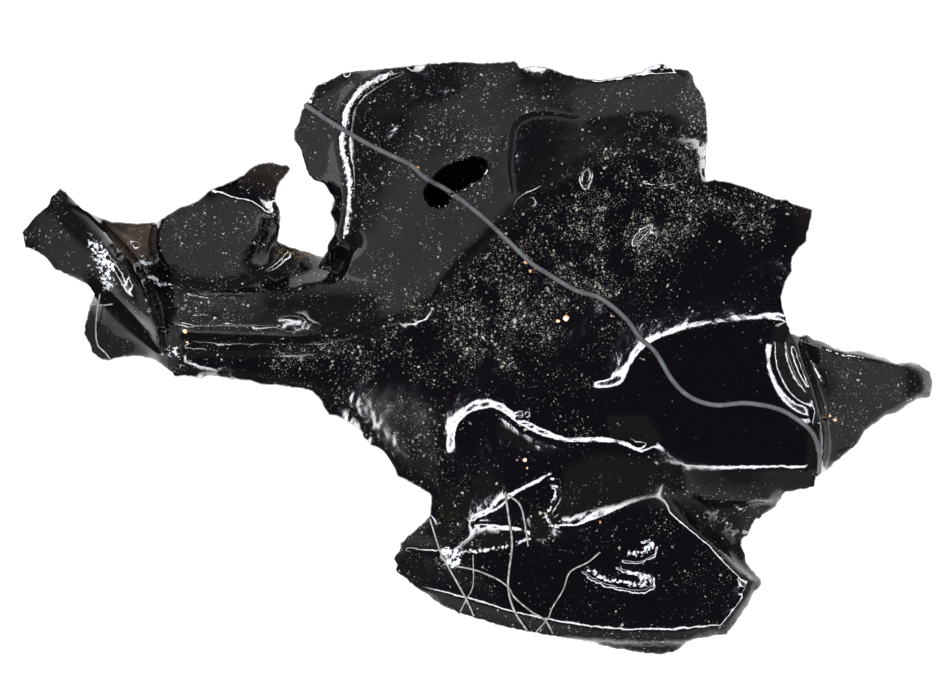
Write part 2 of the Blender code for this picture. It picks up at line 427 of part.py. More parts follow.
def softened(z, sigma):
    """The field z blurred by sigma drawing units."""
    s = sigma / GRID
    r = int(3 * s + 1)
    k = np.exp(-0.5 * (np.arange(-r, r + 1) / s) ** 2)
    k /= k.sum()
    p = np.pad(z, ((r, r), (0, 0)), mode="edge")
    z = sum(k[i] * p[i:i + z.shape[0]] for i in range(2 * r + 1))
    p = np.pad(z, ((0, 0), (r, r)), mode="edge")
    return sum(k[i] * p[:, i:i + z.shape[1]] for i in range(2 * r + 1))


def eroded(z, reach):
    """The least of z within reach drawing units, in a square."""
    for _ in range(int(reach / GRID)):
        p = np.pad(z, 1, mode="edge")
        z = np.minimum.reduce([p[1:-1, 1:-1], p[:-2, 1:-1], p[2:, 1:-1], p[1:-1, :-2], p[1:-1, 2:]])
    return z


def read(z, x, y):
    """The height of the field z at drawing point x, y."""
    u = np.clip(np.asarray(x, float) / GRID, 0, z.shape[1] - 1.001)
    v = np.clip(np.asarray(y, float) / GRID, 0, z.shape[0] - 1.001)
    j, i = u.astype(int), v.astype(int)
    u, v = u - j, v - i
    return (z[i, j] * (1 - v) * (1 - u) + z[i, j + 1] * (1 - v) * u
            + z[i + 1, j] * v * (1 - u) + z[i + 1, j + 1] * v * u)


def pore(x, y):
    """Distance from the bubble's centre, 1 at its lip."""
    turn = math.radians(PORE_TURN_DEG)
    dx, dy = x - PORE_CENTRE[0], y - PORE_CENTRE[1]
    along = (dx * math.cos(turn) + dy * math.sin(turn)) * UNIT_MM / PORE_LONG_MM
    across = (dy * math.cos(turn) - dx * math.sin(turn)) * UNIT_MM / PORE_SHORT_MM
    return np.hypot(along, across)


def pore_ring(scale, n):
    """n points on the bubble's outline, scaled."""
    turn = math.radians(PORE_TURN_DEG)
    out = []
    for k in range(n):
        a = 2 * math.pi * k / n
        u = math.cos(a) * PORE_LONG_MM * scale / UNIT_MM
        v = math.sin(a) * PORE_SHORT_MM * scale / UNIT_MM
        out.append((PORE_CENTRE[0] + u * math.cos(turn) - v * math.sin(turn),
                    PORE_CENTRE[1] + u * math.sin(turn) + v * math.cos(turn)))
    return out


# ---------------------------------------------------------------- facets
def spaced(line, gap):
    """Points along a line about gap apart, keeping its ends."""
    line = np.asarray(line, float)
    run = np.concatenate([[0], np.cumsum(np.hypot(*np.diff(line[:, :2], axis=0).T))])
    n = max(1, int(round(run[-1] / gap)))
    at = np.linspace(0, run[-1], n + 1)
    return np.column_stack([np.interp(at, run, line[:, k]) for k in range(line.shape[1])])


def facets(border, lines, gap, rng):
    """Triangles over the outline: its points, the lines' points and a loose field of others."""
    points = [tuple(p[:2]) for p in border]
    edges = [(i, (i + 1) % len(border)) for i in range(len(border))]
    ring = [tuple(p[:2]) for p in border]
    near = np.array(ring)
    for line in lines:
        run = spaced(line, LINE_FACET)
        ok = inside(ring, run[:, 0], run[:, 1])
        last = None
        for p, keep in zip(run, ok):
            clear = np.hypot(near[:, 0] - p[0], near[:, 1] - p[1]).min() > CLEAR
            if keep and clear:
                points.append((p[0], p[1]))
                if last is not None:
                    edges.append((last, len(points) - 1))
                last = len(points) - 1
            else:
                last = None
    taken = np.array(points)
    row = 0
    y = gap / 2
    while y < SHEET[1]:
        for k in range(int(SHEET[0] / gap) + 1):
            px = (k + 0.5 * (row % 2)) * gap + rng.uniform(-STRAY, STRAY) * gap
            py = y + rng.uniform(-STRAY, STRAY) * gap
            if inside(ring, np.array([px]), np.array([py]))[0]:
                if np.hypot(taken[:, 0] - px, taken[:, 1] - py).min() > gap * APART:
                    points.append((px, py))
        row += 1
        y += gap * ROW
    v, _, f, origin, _, _ = delaunay_2d_cdt(points, edges, [list(range(len(border)))], 1, 0.01)
    v = np.array([tuple(p) for p in v])
    where = {}
    for k, ids in enumerate(origin):
        for i in ids:
            if i < len(border):
                where[i] = k
    tris = []
    for t in f:
        a, b, c = v[t[0]], v[t[1]], v[t[2]]
        turn = (b[0] - a[0]) * (c[1] - a[1]) - (b[1] - a[1]) * (c[0] - a[0])
        if abs(turn) > 1e-4:
            tris.append(tuple(t) if turn > 0 else (t[0], t[2], t[1]))
    return v, tris, [where[i] for i in range(len(border))]


def build():
    rng = np.random.default_rng(SEED)
    closed = np.array(RIM + RIM[:1], float)
    upper_lines = [closed[:, :3]] + [line for _, line in TOP]
    z_top = skin(upper_lines, DOMES)
    sharp = skin([np.column_stack([line[:, :2], np.full(len(line), r)])
                  for r, line in [(0.7, closed[:, :3])] + TOP])
    blur = [softened(z_top, s) for s in SOFT]
    weight = np.clip((sharp - 1.0) / 3.0, 0, 1)
    z_top = blur[0] * (1 - weight) + blur[1] * weight

    lower = np.column_stack([closed[:, :2], closed[:, 2] - closed[:, 3]])
    rest = np.array([(x, y, 0.0) for x, y in BASE_FACE + BASE_FACE[:1]])
    z_low = skin([lower, rest] + UNDER, flat=BASE_FACE)
    z_low = np.minimum(z_low, eroded(z_top, 10) - LEAST_WALL_MM)
    z_low = np.where(inside(BASE_FACE, *cells(GRID)), 0.0, z_low)

    # the rim keeps every hand-set corner, with points added on its long runs
    border = []
    for a, b in zip(closed[:-1], closed[1:]):
        n = max(1, int(round(math.hypot(b[0] - a[0], b[1] - a[1]) / LINE_FACET)))
        border += [a + (b - a) * k / n for k in range(n)]
    border = np.array(border)
    kept = [0]
    for i in range(1, len(border)):
        if np.hypot(*(border[i, :2] - border[kept[-1], :2])) > 3.0:
            kept.append(i)
    border = border[kept]

    x0 = (border[:, 0].min() + border[:, 0].max()) / 2
    y0 = (border[:, 1].min() + border[:, 1].max()) / 2

    def place(x, y, z):
        return ((x - x0) * UNIT_MM * MM, (y0 - y) * UNIT_MM * MM, z * MM)

    rings = [np.array(pore_ring(s, n) + [pore_ring(s, n)[0]])
             for s, n in ((1.05, 18), (0.86, 16), (0.5, 8))]
    vt, ft, at = facets(border, CREASES + rings, TOP_FACET, rng)
    base_edge = np.array([(x, y, 0.0) for x, y in BASE_FACE + BASE_FACE[:1]])
    vl, fl, al = facets(border, [base_edge[:, :2]] + [u[:, :2] for u in UNDER], UNDER_FACET, rng)

    upper = read(z_top, vt[:, 0], vt[:, 1])
    r = pore(vt[:, 0], vt[:, 1])
    upper = upper - PORE_DEPTH_MM * np.clip((1.0 - r) / 0.14, 0, 1) * (1 - 0.25 * r)
    for i, k in enumerate(at):
        upper[k] = border[i, 2]
    under_z = np.minimum(read(z_low, vl[:, 0], vl[:, 1]), 90)
    held = inside(BASE_FACE, vl[:, 0], vl[:, 1])
    edge = np.array([min(np.hypot(*(p - q)) for q in spaced(base_edge[:, :2], 3.0)) for p in vl])
    under_z = np.where(held | (edge < 2.5), 0.0, np.maximum(under_z, 0.0))
    for i, k in enumerate(al):
        under_z[k] = border[i, 2] - border[i, 3]

    mesh = bmesh.new()
    top = [mesh.verts.new(place(x, y, z)) for (x, y), z in zip(vt, upper)]
    low = [mesh.verts.new(place(x, y, z)) for (x, y), z in zip(vl, under_z)]
    for a, b, c in ft:                      # the sheet's y runs down, so the turn is reversed
        mesh.faces.new((top[a], top[c], top[b]))
    for a, b, c in fl:
        mesh.faces.new((low[a], low[b], low[c]))
    for i in range(len(border)):
        j = (i + 1) % len(border)
        a, b, c, d = top[at[i]], top[at[j]], low[al[j]], low[al[i]]
        mesh.faces.new((a, b, c))
        mesh.faces.new((a, c, d))
    bmesh.ops.recalc_face_normals(mesh, faces=mesh.faces)
    data = bpy.data.meshes.new("obsidian_chunk")
    mesh.to_mesh(data)
    mesh.free()
    return data


def glass():
    material = bpy.data.materials.new("volcanic_glass")
    material.use_nodes = True
    shader = material.node_tree.nodes["Principled BSDF"]
    shader.inputs["Base Color"].default_value = GLASS_BLACK
    shader.inputs["Roughness"].default_value = 0.08
    shader.inputs["Metallic"].default_value = 0.0
    return material


for old in list(bpy.data.objects):
    bpy.data.objects.remove(old, do_unlink=True)
chunk = bpy.data.objects.new("obsidian_chunk", build())
chunk.data.materials.append(glass())
bpy.context.scene.collection.objects.link(chunk)
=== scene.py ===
# %% [markdown]
# # A chunk of obsidian
# This notebook dresses a small fragment of black volcanic glass, about 15 mm long.  Obsidian
# breaks like bottle glass: in smooth, curved faces that meet in sharp arrises.  Thick glass is
# black, thin rims let light through, and dust, lint and a few mineral grains lie on top.

# %% Load the frame
import math

import bmesh
import bpy
import numpy as np
from mathutils.geometry import delaunay_2d_cdt
from mathutils.kdtree import KDTree
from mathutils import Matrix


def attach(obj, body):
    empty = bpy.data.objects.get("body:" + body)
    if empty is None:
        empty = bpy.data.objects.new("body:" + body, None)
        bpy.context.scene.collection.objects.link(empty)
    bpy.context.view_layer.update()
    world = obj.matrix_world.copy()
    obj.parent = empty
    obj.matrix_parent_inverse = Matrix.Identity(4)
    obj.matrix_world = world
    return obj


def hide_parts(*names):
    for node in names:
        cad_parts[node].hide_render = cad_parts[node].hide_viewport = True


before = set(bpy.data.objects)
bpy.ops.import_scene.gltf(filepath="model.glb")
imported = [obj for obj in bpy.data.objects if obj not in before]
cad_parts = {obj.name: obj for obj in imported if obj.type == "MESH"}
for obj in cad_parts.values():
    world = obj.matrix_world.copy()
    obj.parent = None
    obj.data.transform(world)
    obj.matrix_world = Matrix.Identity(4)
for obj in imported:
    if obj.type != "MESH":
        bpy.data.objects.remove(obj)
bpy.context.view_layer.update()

# %% [markdown]
# ## Measures
# The fragment is drawn on a sheet whose unit is a sixtieth of a millimetre, x to the right and
# y down.  Heights are in millimetres above the face it rests on.  Keeping a drawing unit of its
# own lets every line be written with short round numbers, and one function places them.

# %% Units and sizes
MM = 0.001                       # metres in a millimetre
UNIT_MM = 1.0 / 60.0             # one drawing unit in millimetres
SHEET = (951, 684)               # size of the drawing sheet, in units
CENTRE = (477.6, 358.1)          # the sheet point over the origin
GRID = 1.0                       # spacing of the height field, in units
TOP_GAP = 2.35                   # spacing of the upper side's points
UNDER_GAP = 4.2                  # spacing of the underside's points
RIM_GAP = 2.4                    # spacing of points along the rim
RIM_ROWS = 5                     # rows of faces down the broken rim
LEAST_WALL_MM = 0.10             # least thickness away from the rims


def place(x, y, z):
    """Sheet units and a height in millimetres to metres in the world."""
    return ((x - CENTRE[0]) * UNIT_MM * MM, (CENTRE[1] - y) * UNIT_MM * MM, z * MM)


def put(name, data):
    """A new object of that name in the scene."""
    made = bpy.data.objects.new(name, data)
    bpy.context.scene.collection.objects.link(made)
    return made


print("one unit is %.4f mm" % UNIT_MM)

# %% [markdown]
# ## Camera
# The fragment is looked at from straight above, from far enough away that its high plates and
# low rims stand at the same scale.  A very long lens half a metre off does that.

# %% Camera
CAMERA_HEIGHT = 0.5              # metres
VIEW_CENTRE = (475.5, 342.0)     # sheet point in the middle of the frame
SENSOR_MM = 36.0
FOCUS_HEIGHT = 0.0025            # metres over the floor where the frame is as wide as the sheet
lens_data = bpy.data.cameras.new("macro_lens")
camera = put("macro_lens", lens_data)
cx, cy, _ = place(*VIEW_CENTRE, 0)
camera.location = (cx, cy, CAMERA_HEIGHT)
lens_data.sensor_width = SENSOR_MM
lens_data.lens = SENSOR_MM * (CAMERA_HEIGHT - FOCUS_HEIGHT) / (SHEET[0] * UNIT_MM * MM)
lens_data.clip_start, lens_data.clip_end = 0.05, 10.0
bpy.context.scene.camera = camera
print("lens %.0f mm" % lens_data.lens)

# %% [markdown]
# ## Drawing the fracture lines
# A broken face is hard to box-model, but easy to describe by the lines that the eye follows:
# crests, cliff edges, the beds of hollows.  Each line carries its own heights.  A skin drawn
# tight over all of them, like a soap film, gives the smooth faces between.

# %% Line helpers
rng = np.random.default_rng(11)
CHIP_GAP = 2.0                   # distance between chips along a line, in units


def curve(points, parts=4):
    """A smooth curve through the points (Catmull-Rom)."""
    p = np.array(points, float)
    if len(p) < 3:
        return p
    e = np.vstack([2 * p[0] - p[1], p, 2 * p[-1] - p[-2]])
    out = []
    for i in range(1, len(e) - 2):
        a, b, c, d = e[i - 1:i + 3]
        for t in np.arange(parts) / parts:
            out.append(0.5 * (2 * b + (c - a) * t + (2 * a - 5 * b + 4 * c - d) * t ** 2
                              + (3 * b - a - 3 * c + d) * t ** 3))
    return np.array(out + [p[-1]])


def spaced(line, gap):
    """Points along a line about gap apart, keeping its ends."""
    line = np.asarray(line, float)
    run = np.concatenate([[0], np.cumsum(np.hypot(*np.diff(line[:, :2], axis=0).T))])
    at = np.linspace(0, run[-1], max(1, int(round(run[-1] / gap))) + 1)
    return np.column_stack([np.interp(at, run, line[:, k]) for k in range(line.shape[1])])


def sideways(line):
    """Unit vectors to the right of travel at each point of a line."""
    d = np.gradient(np.asarray(line, float)[:, :2], axis=0)
    d /= np.maximum(np.hypot(d[:, 0], d[:, 1])[:, None], 1e-9)
    return np.column_stack([-d[:, 1], d[:, 0]])


def wandering(line, wander, lift):
    """The line with small chips: it wanders sideways by units and in height by millimetres."""
    q = spaced(line, CHIP_GAP)
    if len(q) < 4:
        return q
    side = np.convolve(rng.normal(0, 1, len(q) + 4), np.ones(3) / 2, "same")[2:-2]
    rise = np.convolve(rng.normal(0, 1, len(q) + 4), np.ones(3) / 2, "same")[2:-2]
    q[:, :2] += sideways(q) * (side * wander)[:, None]
    q[:, 2] += rise * lift
    return q


print("a curve of 3 points, drawn in", len(curve([(0, 0), (1, 0), (2, 1)])), "points")

# %% [markdown]
# ## Kinds of line
# Every line belongs to a kind: a stretch of the rim, a plain ridge, a rounded shoulder, a cliff,
# a swelling region, or a line of the underside.  One long list could hold them all, but a small
# function for each kind keeps the shape readable, because a call names what it draws.

# %% Kinds of line
# how far chipped lines wander: sideways in units, and in height in millimetres
RIDGE_CHIPS, LIP_CHIPS, FOOT_CHIPS = (0.15, 0.001), (0.3, 0.003), (0.4, 0.004)
RIM, TOP, UNDER, DOMES = [], [], [], []
NAMES = []                       # names of the lines since the last printout


def newly_drawn():
    """The names of the lines drawn since the last call."""
    names = ", ".join(NAMES)
    NAMES.clear()
    return names


def rim(name, thickness, *points):
    """One stretch of the outline, clockwise, with the thickness of its broken edge."""
    NAMES.append(name)
    RIM.extend((x, y, z, thickness) for x, y, z in points)


def ridge(name, rounding, *points):
    """A line the upper side runs through: a crest, a foot or the bed of a hollow."""
    NAMES.append(name)
    TOP.append((rounding, wandering(curve(points), *RIDGE_CHIPS)))


def beside(points, gap):
    """The same points moved gap units to the right of travel."""
    p = np.array([q[:2] for q in points], float)
    return p + sideways(p) * gap


def shoulder(name, rounding, left, right, *points):
    """A rounded crest with a companion line on either side, each (gap, change of height)."""
    NAMES.append(name)
    TOP.append((rounding, curve(points)))
    for way, spec in ((-1, left), (1, right)):
        if spec:
            moved = beside(points, way * spec[0])
            TOP.append((rounding, curve([(x, y, p[2] + spec[1])
                                         for (x, y), p in zip(moved, points)])))


def step(name, lip_rounding, foot_rounding, gap, *points):
    """A cliff: x, y, height of its lip, height of its foot, which lies gap to the right."""
    NAMES.append(name)
    TOP.append((lip_rounding, wandering(curve([p[:3] for p in points]), *LIP_CHIPS)))
    foot = [(x, y, p[3]) for (x, y), p in zip(beside(points, gap), points)]
    TOP.append((foot_rounding, wandering(curve(foot), *FOOT_CHIPS)))


def dome(name, bulge, *polygon):
    """A region whose skin bulges, with its curvature per millimetre."""
    NAMES.append(name)
    DOMES.append((bulge, polygon))


def under(name, *points):
    """A line that the underside runs through."""
    NAMES.append(name)
    UNDER.append(curve(points))


print("chips: ridges %.2f, lips %.2f, feet %.2f units" % (RIDGE_CHIPS[0], LIP_CHIPS[0], FOOT_CHIPS[0]))

# %% [markdown]
# ## The outline
# The rim is where two fracture faces meet.  It is cut here into named stretches: some are
# feather-thin and let light through, others are snapped square and chunky.

# %% Outline
rim("blade_top", 0.35, (57, 190, 3), (61, 187.5, 3.05), (67.5, 192, 3.05))
rim("web", 0.2, (76.5, 203, 2.45), (85.5, 210, 2.2), (98, 216.7, 2), (113, 221, 1.9),
    (130, 222.3, 1.85), (145, 222.2, 1.85), (156, 221.5, 2))
rim("disc", 0.22, (161, 219, 2.75), (168.5, 213.5, 2.8), (181, 206.5, 2.85), (197.5, 200.5, 2.9),
    (204, 194, 2.93), (213, 187.5, 2.95), (227, 183, 2.95), (242, 174.5, 2.94),
    (253, 165.8, 2.92), (264, 161.9, 2.9), (273, 161.9, 2.88), (281.5, 164.7, 2.87),
    (288, 164.7, 2.85), (291.5, 168.5, 2.84), (287, 175, 2.85), (280, 183, 2.86),
    (277.5, 191, 2.87), (276, 199.5, 2.87), (280, 209, 2.8), (281.3, 219, 2.62),
    (279.5, 230, 2.4), (278, 241, 2.15))
rim("notch", 0.08, (282.5, 243.5, 1.9), (291, 246.5, 1.8), (302, 250, 1.75), (313, 253, 1.75),
    (322.5, 256.5, 1.9))
rim("crown_left", 0.3, (327, 250.5, 3.15), (328, 242, 3.3), (334.5, 233, 3.45), (333.4, 221, 3.5),
    (330, 212.7, 3.5), (333, 201, 3.56), (329, 192, 3.56), (324.5, 184.3, 3.54),
    (315, 181.5, 3.46), (308, 174.5, 3.42), (303, 163.5, 3.42), (300.7, 150.5, 3.44),
    (294.2, 142, 3.42), (293.5, 131, 3.46), (298.5, 122, 3.54), (301, 111, 3.6),
    (310.5, 96, 3.68), (315, 86, 3.72), (332, 78.5, 3.84), (343.5, 72.5, 3.94))
rim("crown_top", 0.25, (361, 70.8, 3.9), (391, 68, 4.08), (413, 65.4, 4.08), (435, 62.8, 4.02),
    (461, 61.7, 3.92), (481.5, 63, 3.82), (505.5, 62, 3.7), (514, 60.7, 3.66), (518, 63, 3.62),
    (521, 68.3, 3.55), (535, 65.4, 3.52), (553, 69, 3.48), (569, 74.5, 3.42), (588, 79.3, 3.38),
    (603.5, 79, 3.38), (619, 76.8, 3.4), (639, 72, 3.45), (648, 66.8, 3.48), (662, 62.9, 3.48),
    (671.3, 67.8, 3.45), (687, 69.5, 3.35))
rim("crown_right", 0.3, (693, 75, 3.3), (695.3, 84, 3.18), (702.5, 93, 2.98), (706.5, 104, 2.84),
    (708, 120.4, 2.74), (708.6, 130, 2.7), (707, 153, 2.66), (705.6, 171, 2.64), (707, 180, 2.66))
rim("shelf", 0.3, (714.4, 178.5, 2.7), (732.7, 182.3, 2.7), (749.3, 187.6, 2.71),
    (764.2, 193.4, 2.71), (776, 198.2, 2.71), (787.4, 199, 2.7), (797.3, 204.2, 2.7),
    (813, 209.2, 2.68), (812.3, 217.5, 2.69), (809, 230.7, 2.72), (807, 242.3, 2.73),
    (798, 250.3, 2.78), (793.4, 258, 2.81), (792.6, 271.3, 2.84), (786, 282, 2.88))
rim("roll_right", 0.6, (781.8, 297.8, 2.94), (784.3, 309.5, 2.96), (787, 318.6, 2.965),
    (789.5, 327.7, 2.94), (791.3, 333, 2.89))
rim("spike", 0.25, (799, 335.6, 2.7), (806.5, 334, 2.65), (813, 338.7, 2.6), (825, 341.5, 2.5),
    (833, 346.8, 2.45), (847, 351, 2.35), (861, 349.5, 2.25), (872, 353.5, 2.2),
    (885.4, 357, 2.1), (895, 362.5, 2), (903, 362, 1.9), (911, 360.3, 1.8), (921, 364.3, 1.7),
    (931.3, 371, 1.6), (933.8, 378, 1.55), (933.6, 390, 1.5), (931, 397.8, 1.5),
    (920.6, 399.5, 1.55), (908.3, 405.5, 1.6), (898, 413.5, 1.65), (887, 415.5, 1.7),
    (877.7, 423, 1.75), (866, 431.5, 1.8), (859.5, 442, 1.85), (855, 447.5, 1.85),
    (847, 454.4, 1.85), (838, 462, 1.85), (826.5, 472, 1.9))
rim("roll_edge", 0.5, (821, 474, 2.9), (817.3, 478, 2.9), (815, 487.3, 2.84), (806, 490.2, 2.82),
    (793.6, 492, 2.8), (785, 493, 2.78))
rim("flank", 0.4, (780.3, 501, 2.46), (774.3, 509.6, 2.4), (763.6, 515, 2.38), (760.5, 521, 2.34),
    (756, 520.5, 2.35), (751.3, 528.8, 2.3), (748.3, 537.2, 2.27), (743, 538.7, 2.28),
    (742.2, 545.6, 2.26), (746, 554, 2.22), (747.5, 562.5, 2.21), (754.4, 571, 2.22),
    (761.3, 579.3, 2.26), (762, 584.5, 2.3))
rim("bowl_tip", 0.7, (759, 589.2, 2.52), (753.6, 594.6, 2.46), (749.8, 603.8, 2.42),
    (743.7, 613, 2.4), (736, 623.7, 2.4), (727, 635.8, 2.42), (720.7, 636.2, 2.42))
rim("keel", 0.5, (707, 638, 2.36), (694.7, 639.8, 2.28), (687, 643.6, 2.22), (681, 649.7, 2.19),
    (673.3, 653.5, 2.17), (659.5, 655.5, 2.16), (645.7, 654.3, 2.17), (630.4, 652, 2.18),
    (610.5, 649, 2.22), (591, 643, 2.29), (575.3, 640.5, 2.36))
rim("bowl_rim", 0.8, (558.6, 638, 2.55), (531.8, 634.5, 2.52), (505, 628.2, 2.47),
    (480, 621, 2.43), (458.6, 614, 2.39), (440.7, 606, 2.36), (426.4, 596, 2.34),
    (412, 585.4, 2.33), (398, 574.6, 2.32), (393.4, 570, 2.31), (395.2, 564.8, 2.33),
    (392.5, 558.6, 2.33), (395.2, 553.2, 2.36), (399, 549.6, 2.38), (399.6, 543.4, 2.36),
    (406.8, 535.4, 2.34), (415.7, 527.3, 2.3), (424.6, 521, 2.26))
rim("waist", 0.36, (429.2, 515.7, 2.38), (430.5, 496, 2.4), (420.3, 489, 2.4),
    (406.8, 481.5, 2.39), (396.3, 476.5, 2.38), (393.5, 467.5, 2.38), (387.5, 456.6, 2.36),
    (382.4, 450.8, 2.35), (370, 446, 2.31), (362.8, 438.2, 2.28), (360.5, 431, 2.28),
    (351.6, 425, 2.23), (343, 420, 2.19), (336, 416.9, 2.17), (328.4, 415.6, 2.15),
    (321, 405, 2.13), (317, 397.5, 2.12), (311, 391.9, 2.1), (303, 389.5, 2.08),
    (291, 388.2, 2.06))
rim("spine_under", 0.34, (280, 386.8, 2.02), (260.3, 385, 2), (249, 381.5, 2), (232, 380.8, 1.98),
    (217, 376.6, 1.98), (209.8, 375.9, 1.97), (201.4, 379.2, 1.95), (190, 377.3, 1.92),
    (173, 377.5, 1.88), (167.7, 370.5, 1.88), (159.3, 363.3, 1.88))
rim("stub", 0.42, (149, 359.1, 1.62), (134.5, 356.8, 1.48), (120, 358.3, 1.38),
    (108.5, 362.2, 1.3), (98, 359.1, 1.3), (90.3, 353, 1.32), (85.7, 340.7, 1.36),
    (82, 334.6, 1.38), (82.5, 327, 1.4), (85.7, 314.7, 1.44), (89.5, 302.5, 1.5),
    (93.4, 294.5, 1.56))
rim("blade_left", 0.6, (90, 287, 2.7), (79.6, 281, 2.72), (67.4, 275.7, 2.72),
    (53.6, 270.3, 2.72), (49.7, 263.4, 2.74), (43, 256.5, 2.72), (33.7, 251.2, 2.7),
    (24, 248, 2.66), (23, 241, 2.66), (21.4, 232, 2.68), (27.6, 223.6, 2.74), (36.7, 213, 2.82),
    (47.5, 205.3, 2.92), (52, 195.3, 2.98))
print(len(RIM), "corners on the outline:", newly_drawn())

# %% [markdown]
# ## Left blade
# The left end is a thick blade, about a millimetre above the web beside it, with a low stub
# below it on the sheet.  It could be a wedge joined on, but a seam would show where the glass
# broke in one go.  So its shoulder, its cliff and its stub are lines in the one skin.  A cliff
# takes two lines, its lip and its foot, because a single line would give a slope.

# %% Left blade
shoulder("blade_shoulder", 5, (8, 0), (7, -0.05), (66, 212, 3.05), (84, 238, 3.1),
         (98, 247, 3.12), (110, 260, 3.12), (119, 278, 3.08), (123, 297, 3), (130, 299, 3),
         (138, 308, 2.92), (143, 315, 2.85))
step("blade_crest", 2, 2, 4, (161, 352, 2.5, 2.15), (158, 330, 2.75, 2.2), (152, 306, 2.9, 2),
     (143, 286, 2.98, 1.65), (130, 262, 3.02, 1.6), (112, 241, 3.02, 1.75), (95, 223, 3, 1.85),
     (80, 207, 3, 2.1))
ridge("blade_low", 3, (62, 252, 2.88), (80, 266, 2.9), (97, 283, 2.85))
ridge("blade_foot", 3, (96, 297, 2.3), (112, 303, 2.1), (124, 318, 2), (136, 326, 2),
      (150, 342, 2.15))
ridge("stub_edge", 2, (95, 303, 1.62), (96, 322, 1.52), (98, 340, 1.46), (113, 338, 1.52),
      (130, 340, 1.62), (146, 348, 1.8), (156, 357, 1.98))
print("left blade:", newly_drawn())

# %% [markdown]
# ## Web
# Between the blade and the disc the glass is scooped out to a thin web that lets light through.
# A scoop could be cut with a ball, but this one is neither round nor even.  Two low lines hold
# its bed down, the rim holds its edge up, and the skin hangs between them.

# %% Web hollow
ridge("web_foot", 3, (138, 256, 1.5), (148, 258, 1.5), (156, 262, 1.7))
ridge("web_back", 3, (112, 236, 1.75), (130, 240, 1.62), (145, 241, 1.65))
print("web:", newly_drawn())

# %% [markdown]
# ## Disc
# The disc is a small round-edged face beside the web.  It falls from its back rim to a valley
# that parts it from the spine.  A plain slab would lie too flat, so a step marks its left end, a
# crest its right, and one soft line across the middle lets its top sag a little.

# %% Disc
step("disc_left", 2, 2, 3.5, (160, 223, 2.7, 1.95), (156, 232, 2.62, 1.85),
     (155.5, 245, 2.52, 1.75), (159, 258, 2.42, 1.72), (168, 268, 2.35, 2))
shoulder("disc_crest", 1, None, (5, -0.021), (221, 188.7, 2.96), (235.6, 195.2, 2.97),
         (248.7, 197.4, 2.96), (260, 204, 2.93), (271, 213, 2.88), (277, 209, 2.86))
ridge("disc_valley", 4, (170, 272, 2.15), (185, 279, 2.05), (210, 284, 2), (240, 282, 1.98),
      (263, 272, 1.9), (276, 262, 1.85), (283, 252, 1.8))
ridge("disc_mid", 8, (175, 245, 2.45), (205, 240, 2.5), (240, 240, 2.48), (262, 243, 2.35))
print("disc:", newly_drawn())

# %% [markdown]
# ## Notch and spine
# The notch is the low gap between the disc and the crown, and the spine is the long rib below
# both on the sheet.  A rib could be a swept profile, but its height and width change all the
# way.  Lines along its top, its crest, its shelf and the step under it carry those changes, and
# a low strip runs on from its foot to the rim.

# %% Notch floor and spine
ridge("notch_foot", 3, (270, 283, 2), (288, 276, 1.95), (308, 272, 2), (330, 266, 2.3),
      (345, 256, 2.75))
ridge("spine_top", 1.5, (172, 283, 2.08), (200, 292, 2.15), (232, 293, 2.18), (262, 291, 2.2),
      (300, 290, 2.24), (325, 284, 2.48), (345, 282, 2.76), (375, 284, 2.8), (405, 282, 2.76),
      (428, 276, 2.72))
shoulder("spine_crest", 1.5, None, (5, -0.022), (166, 326, 2.34), (180, 323, 2.4),
         (200, 326, 2.44), (224, 325, 2.46), (243, 325.5, 2.47), (260, 327.5, 2.47),
         (276, 327, 2.48), (290, 330, 2.48), (303, 330, 2.48), (310, 324, 2.49))
ridge("spine_shelf", 1.5, (176, 306, 2.26), (205, 308, 2.32), (240, 309, 2.35), (280, 310, 2.38),
      (310, 310, 2.42), (345, 312, 2.47), (380, 311, 2.5), (410, 304, 2.52))
step("spine_under", 1, 1, 4, (186, 335, 2.22, 2), (205, 336, 2.27, 2.05), (235, 337, 2.3, 2.08),
     (270, 338, 2.31, 2.11), (300, 339, 2.32, 2.15), (340, 334, 2.36, 2.21),
     (375, 323, 2.4, 2.27), (400, 315, 2.44, 2.32))
ridge("strip", 4, (178, 360, 1.99), (200, 362, 2.02), (240, 364, 2.05), (280, 366, 2.08),
      (320, 371, 2.13), (343, 381, 2.18), (364, 394, 2.26), (385, 418, 2.35), (406, 447, 2.43),
      (420, 464, 2.43), (427, 478, 2.42), (430, 488, 2.4))
ridge("strip_inner", 4, (343, 372, 2.16), (365, 380, 2.24))
print("notch and spine:", newly_drawn())

# %% [markdown]
# ## Crown
# The crown is the highest part, a little over four millimetres up.  A ridge stands over its
# steep left face, and a broad plate falls away to the right and ends in a low step.  The plate
# could be one plane, but a broken face bends like a shell, so three lines shape its bed.

# %% Crown: left face, ridge, plate
shoulder("crown_ridge", 1.2, (10, -0.037), None, (336, 246, 3.76), (345, 238, 3.8),
         (350, 226, 3.83), (354, 207, 3.88), (354, 188, 3.93), (353, 170, 3.98), (349, 157, 4.01),
         (347, 142, 4.04), (350, 130, 4.06), (350, 116, 4.09), (356, 105, 4.12), (364, 95, 4.14),
         (375, 88, 4.15), (388, 80, 4.15), (405, 73, 4.14))
ridge("crown_facet", 1, (312, 104, 3.66), (324, 96, 3.74), (338, 88, 3.84), (350, 82, 3.94))
ridge("plate_low", 6, (345, 268, 3.05), (370, 274, 2.98), (395, 272, 2.95), (420, 262, 2.92),
      (445, 246, 2.9), (470, 226, 2.88), (490, 210, 2.87))
ridge("plate_mid", 8, (398, 238, 3.26), (425, 215, 3.22), (445, 202, 3.18), (470, 184, 3.14),
      (488, 160, 3.16), (500, 130, 3.26))
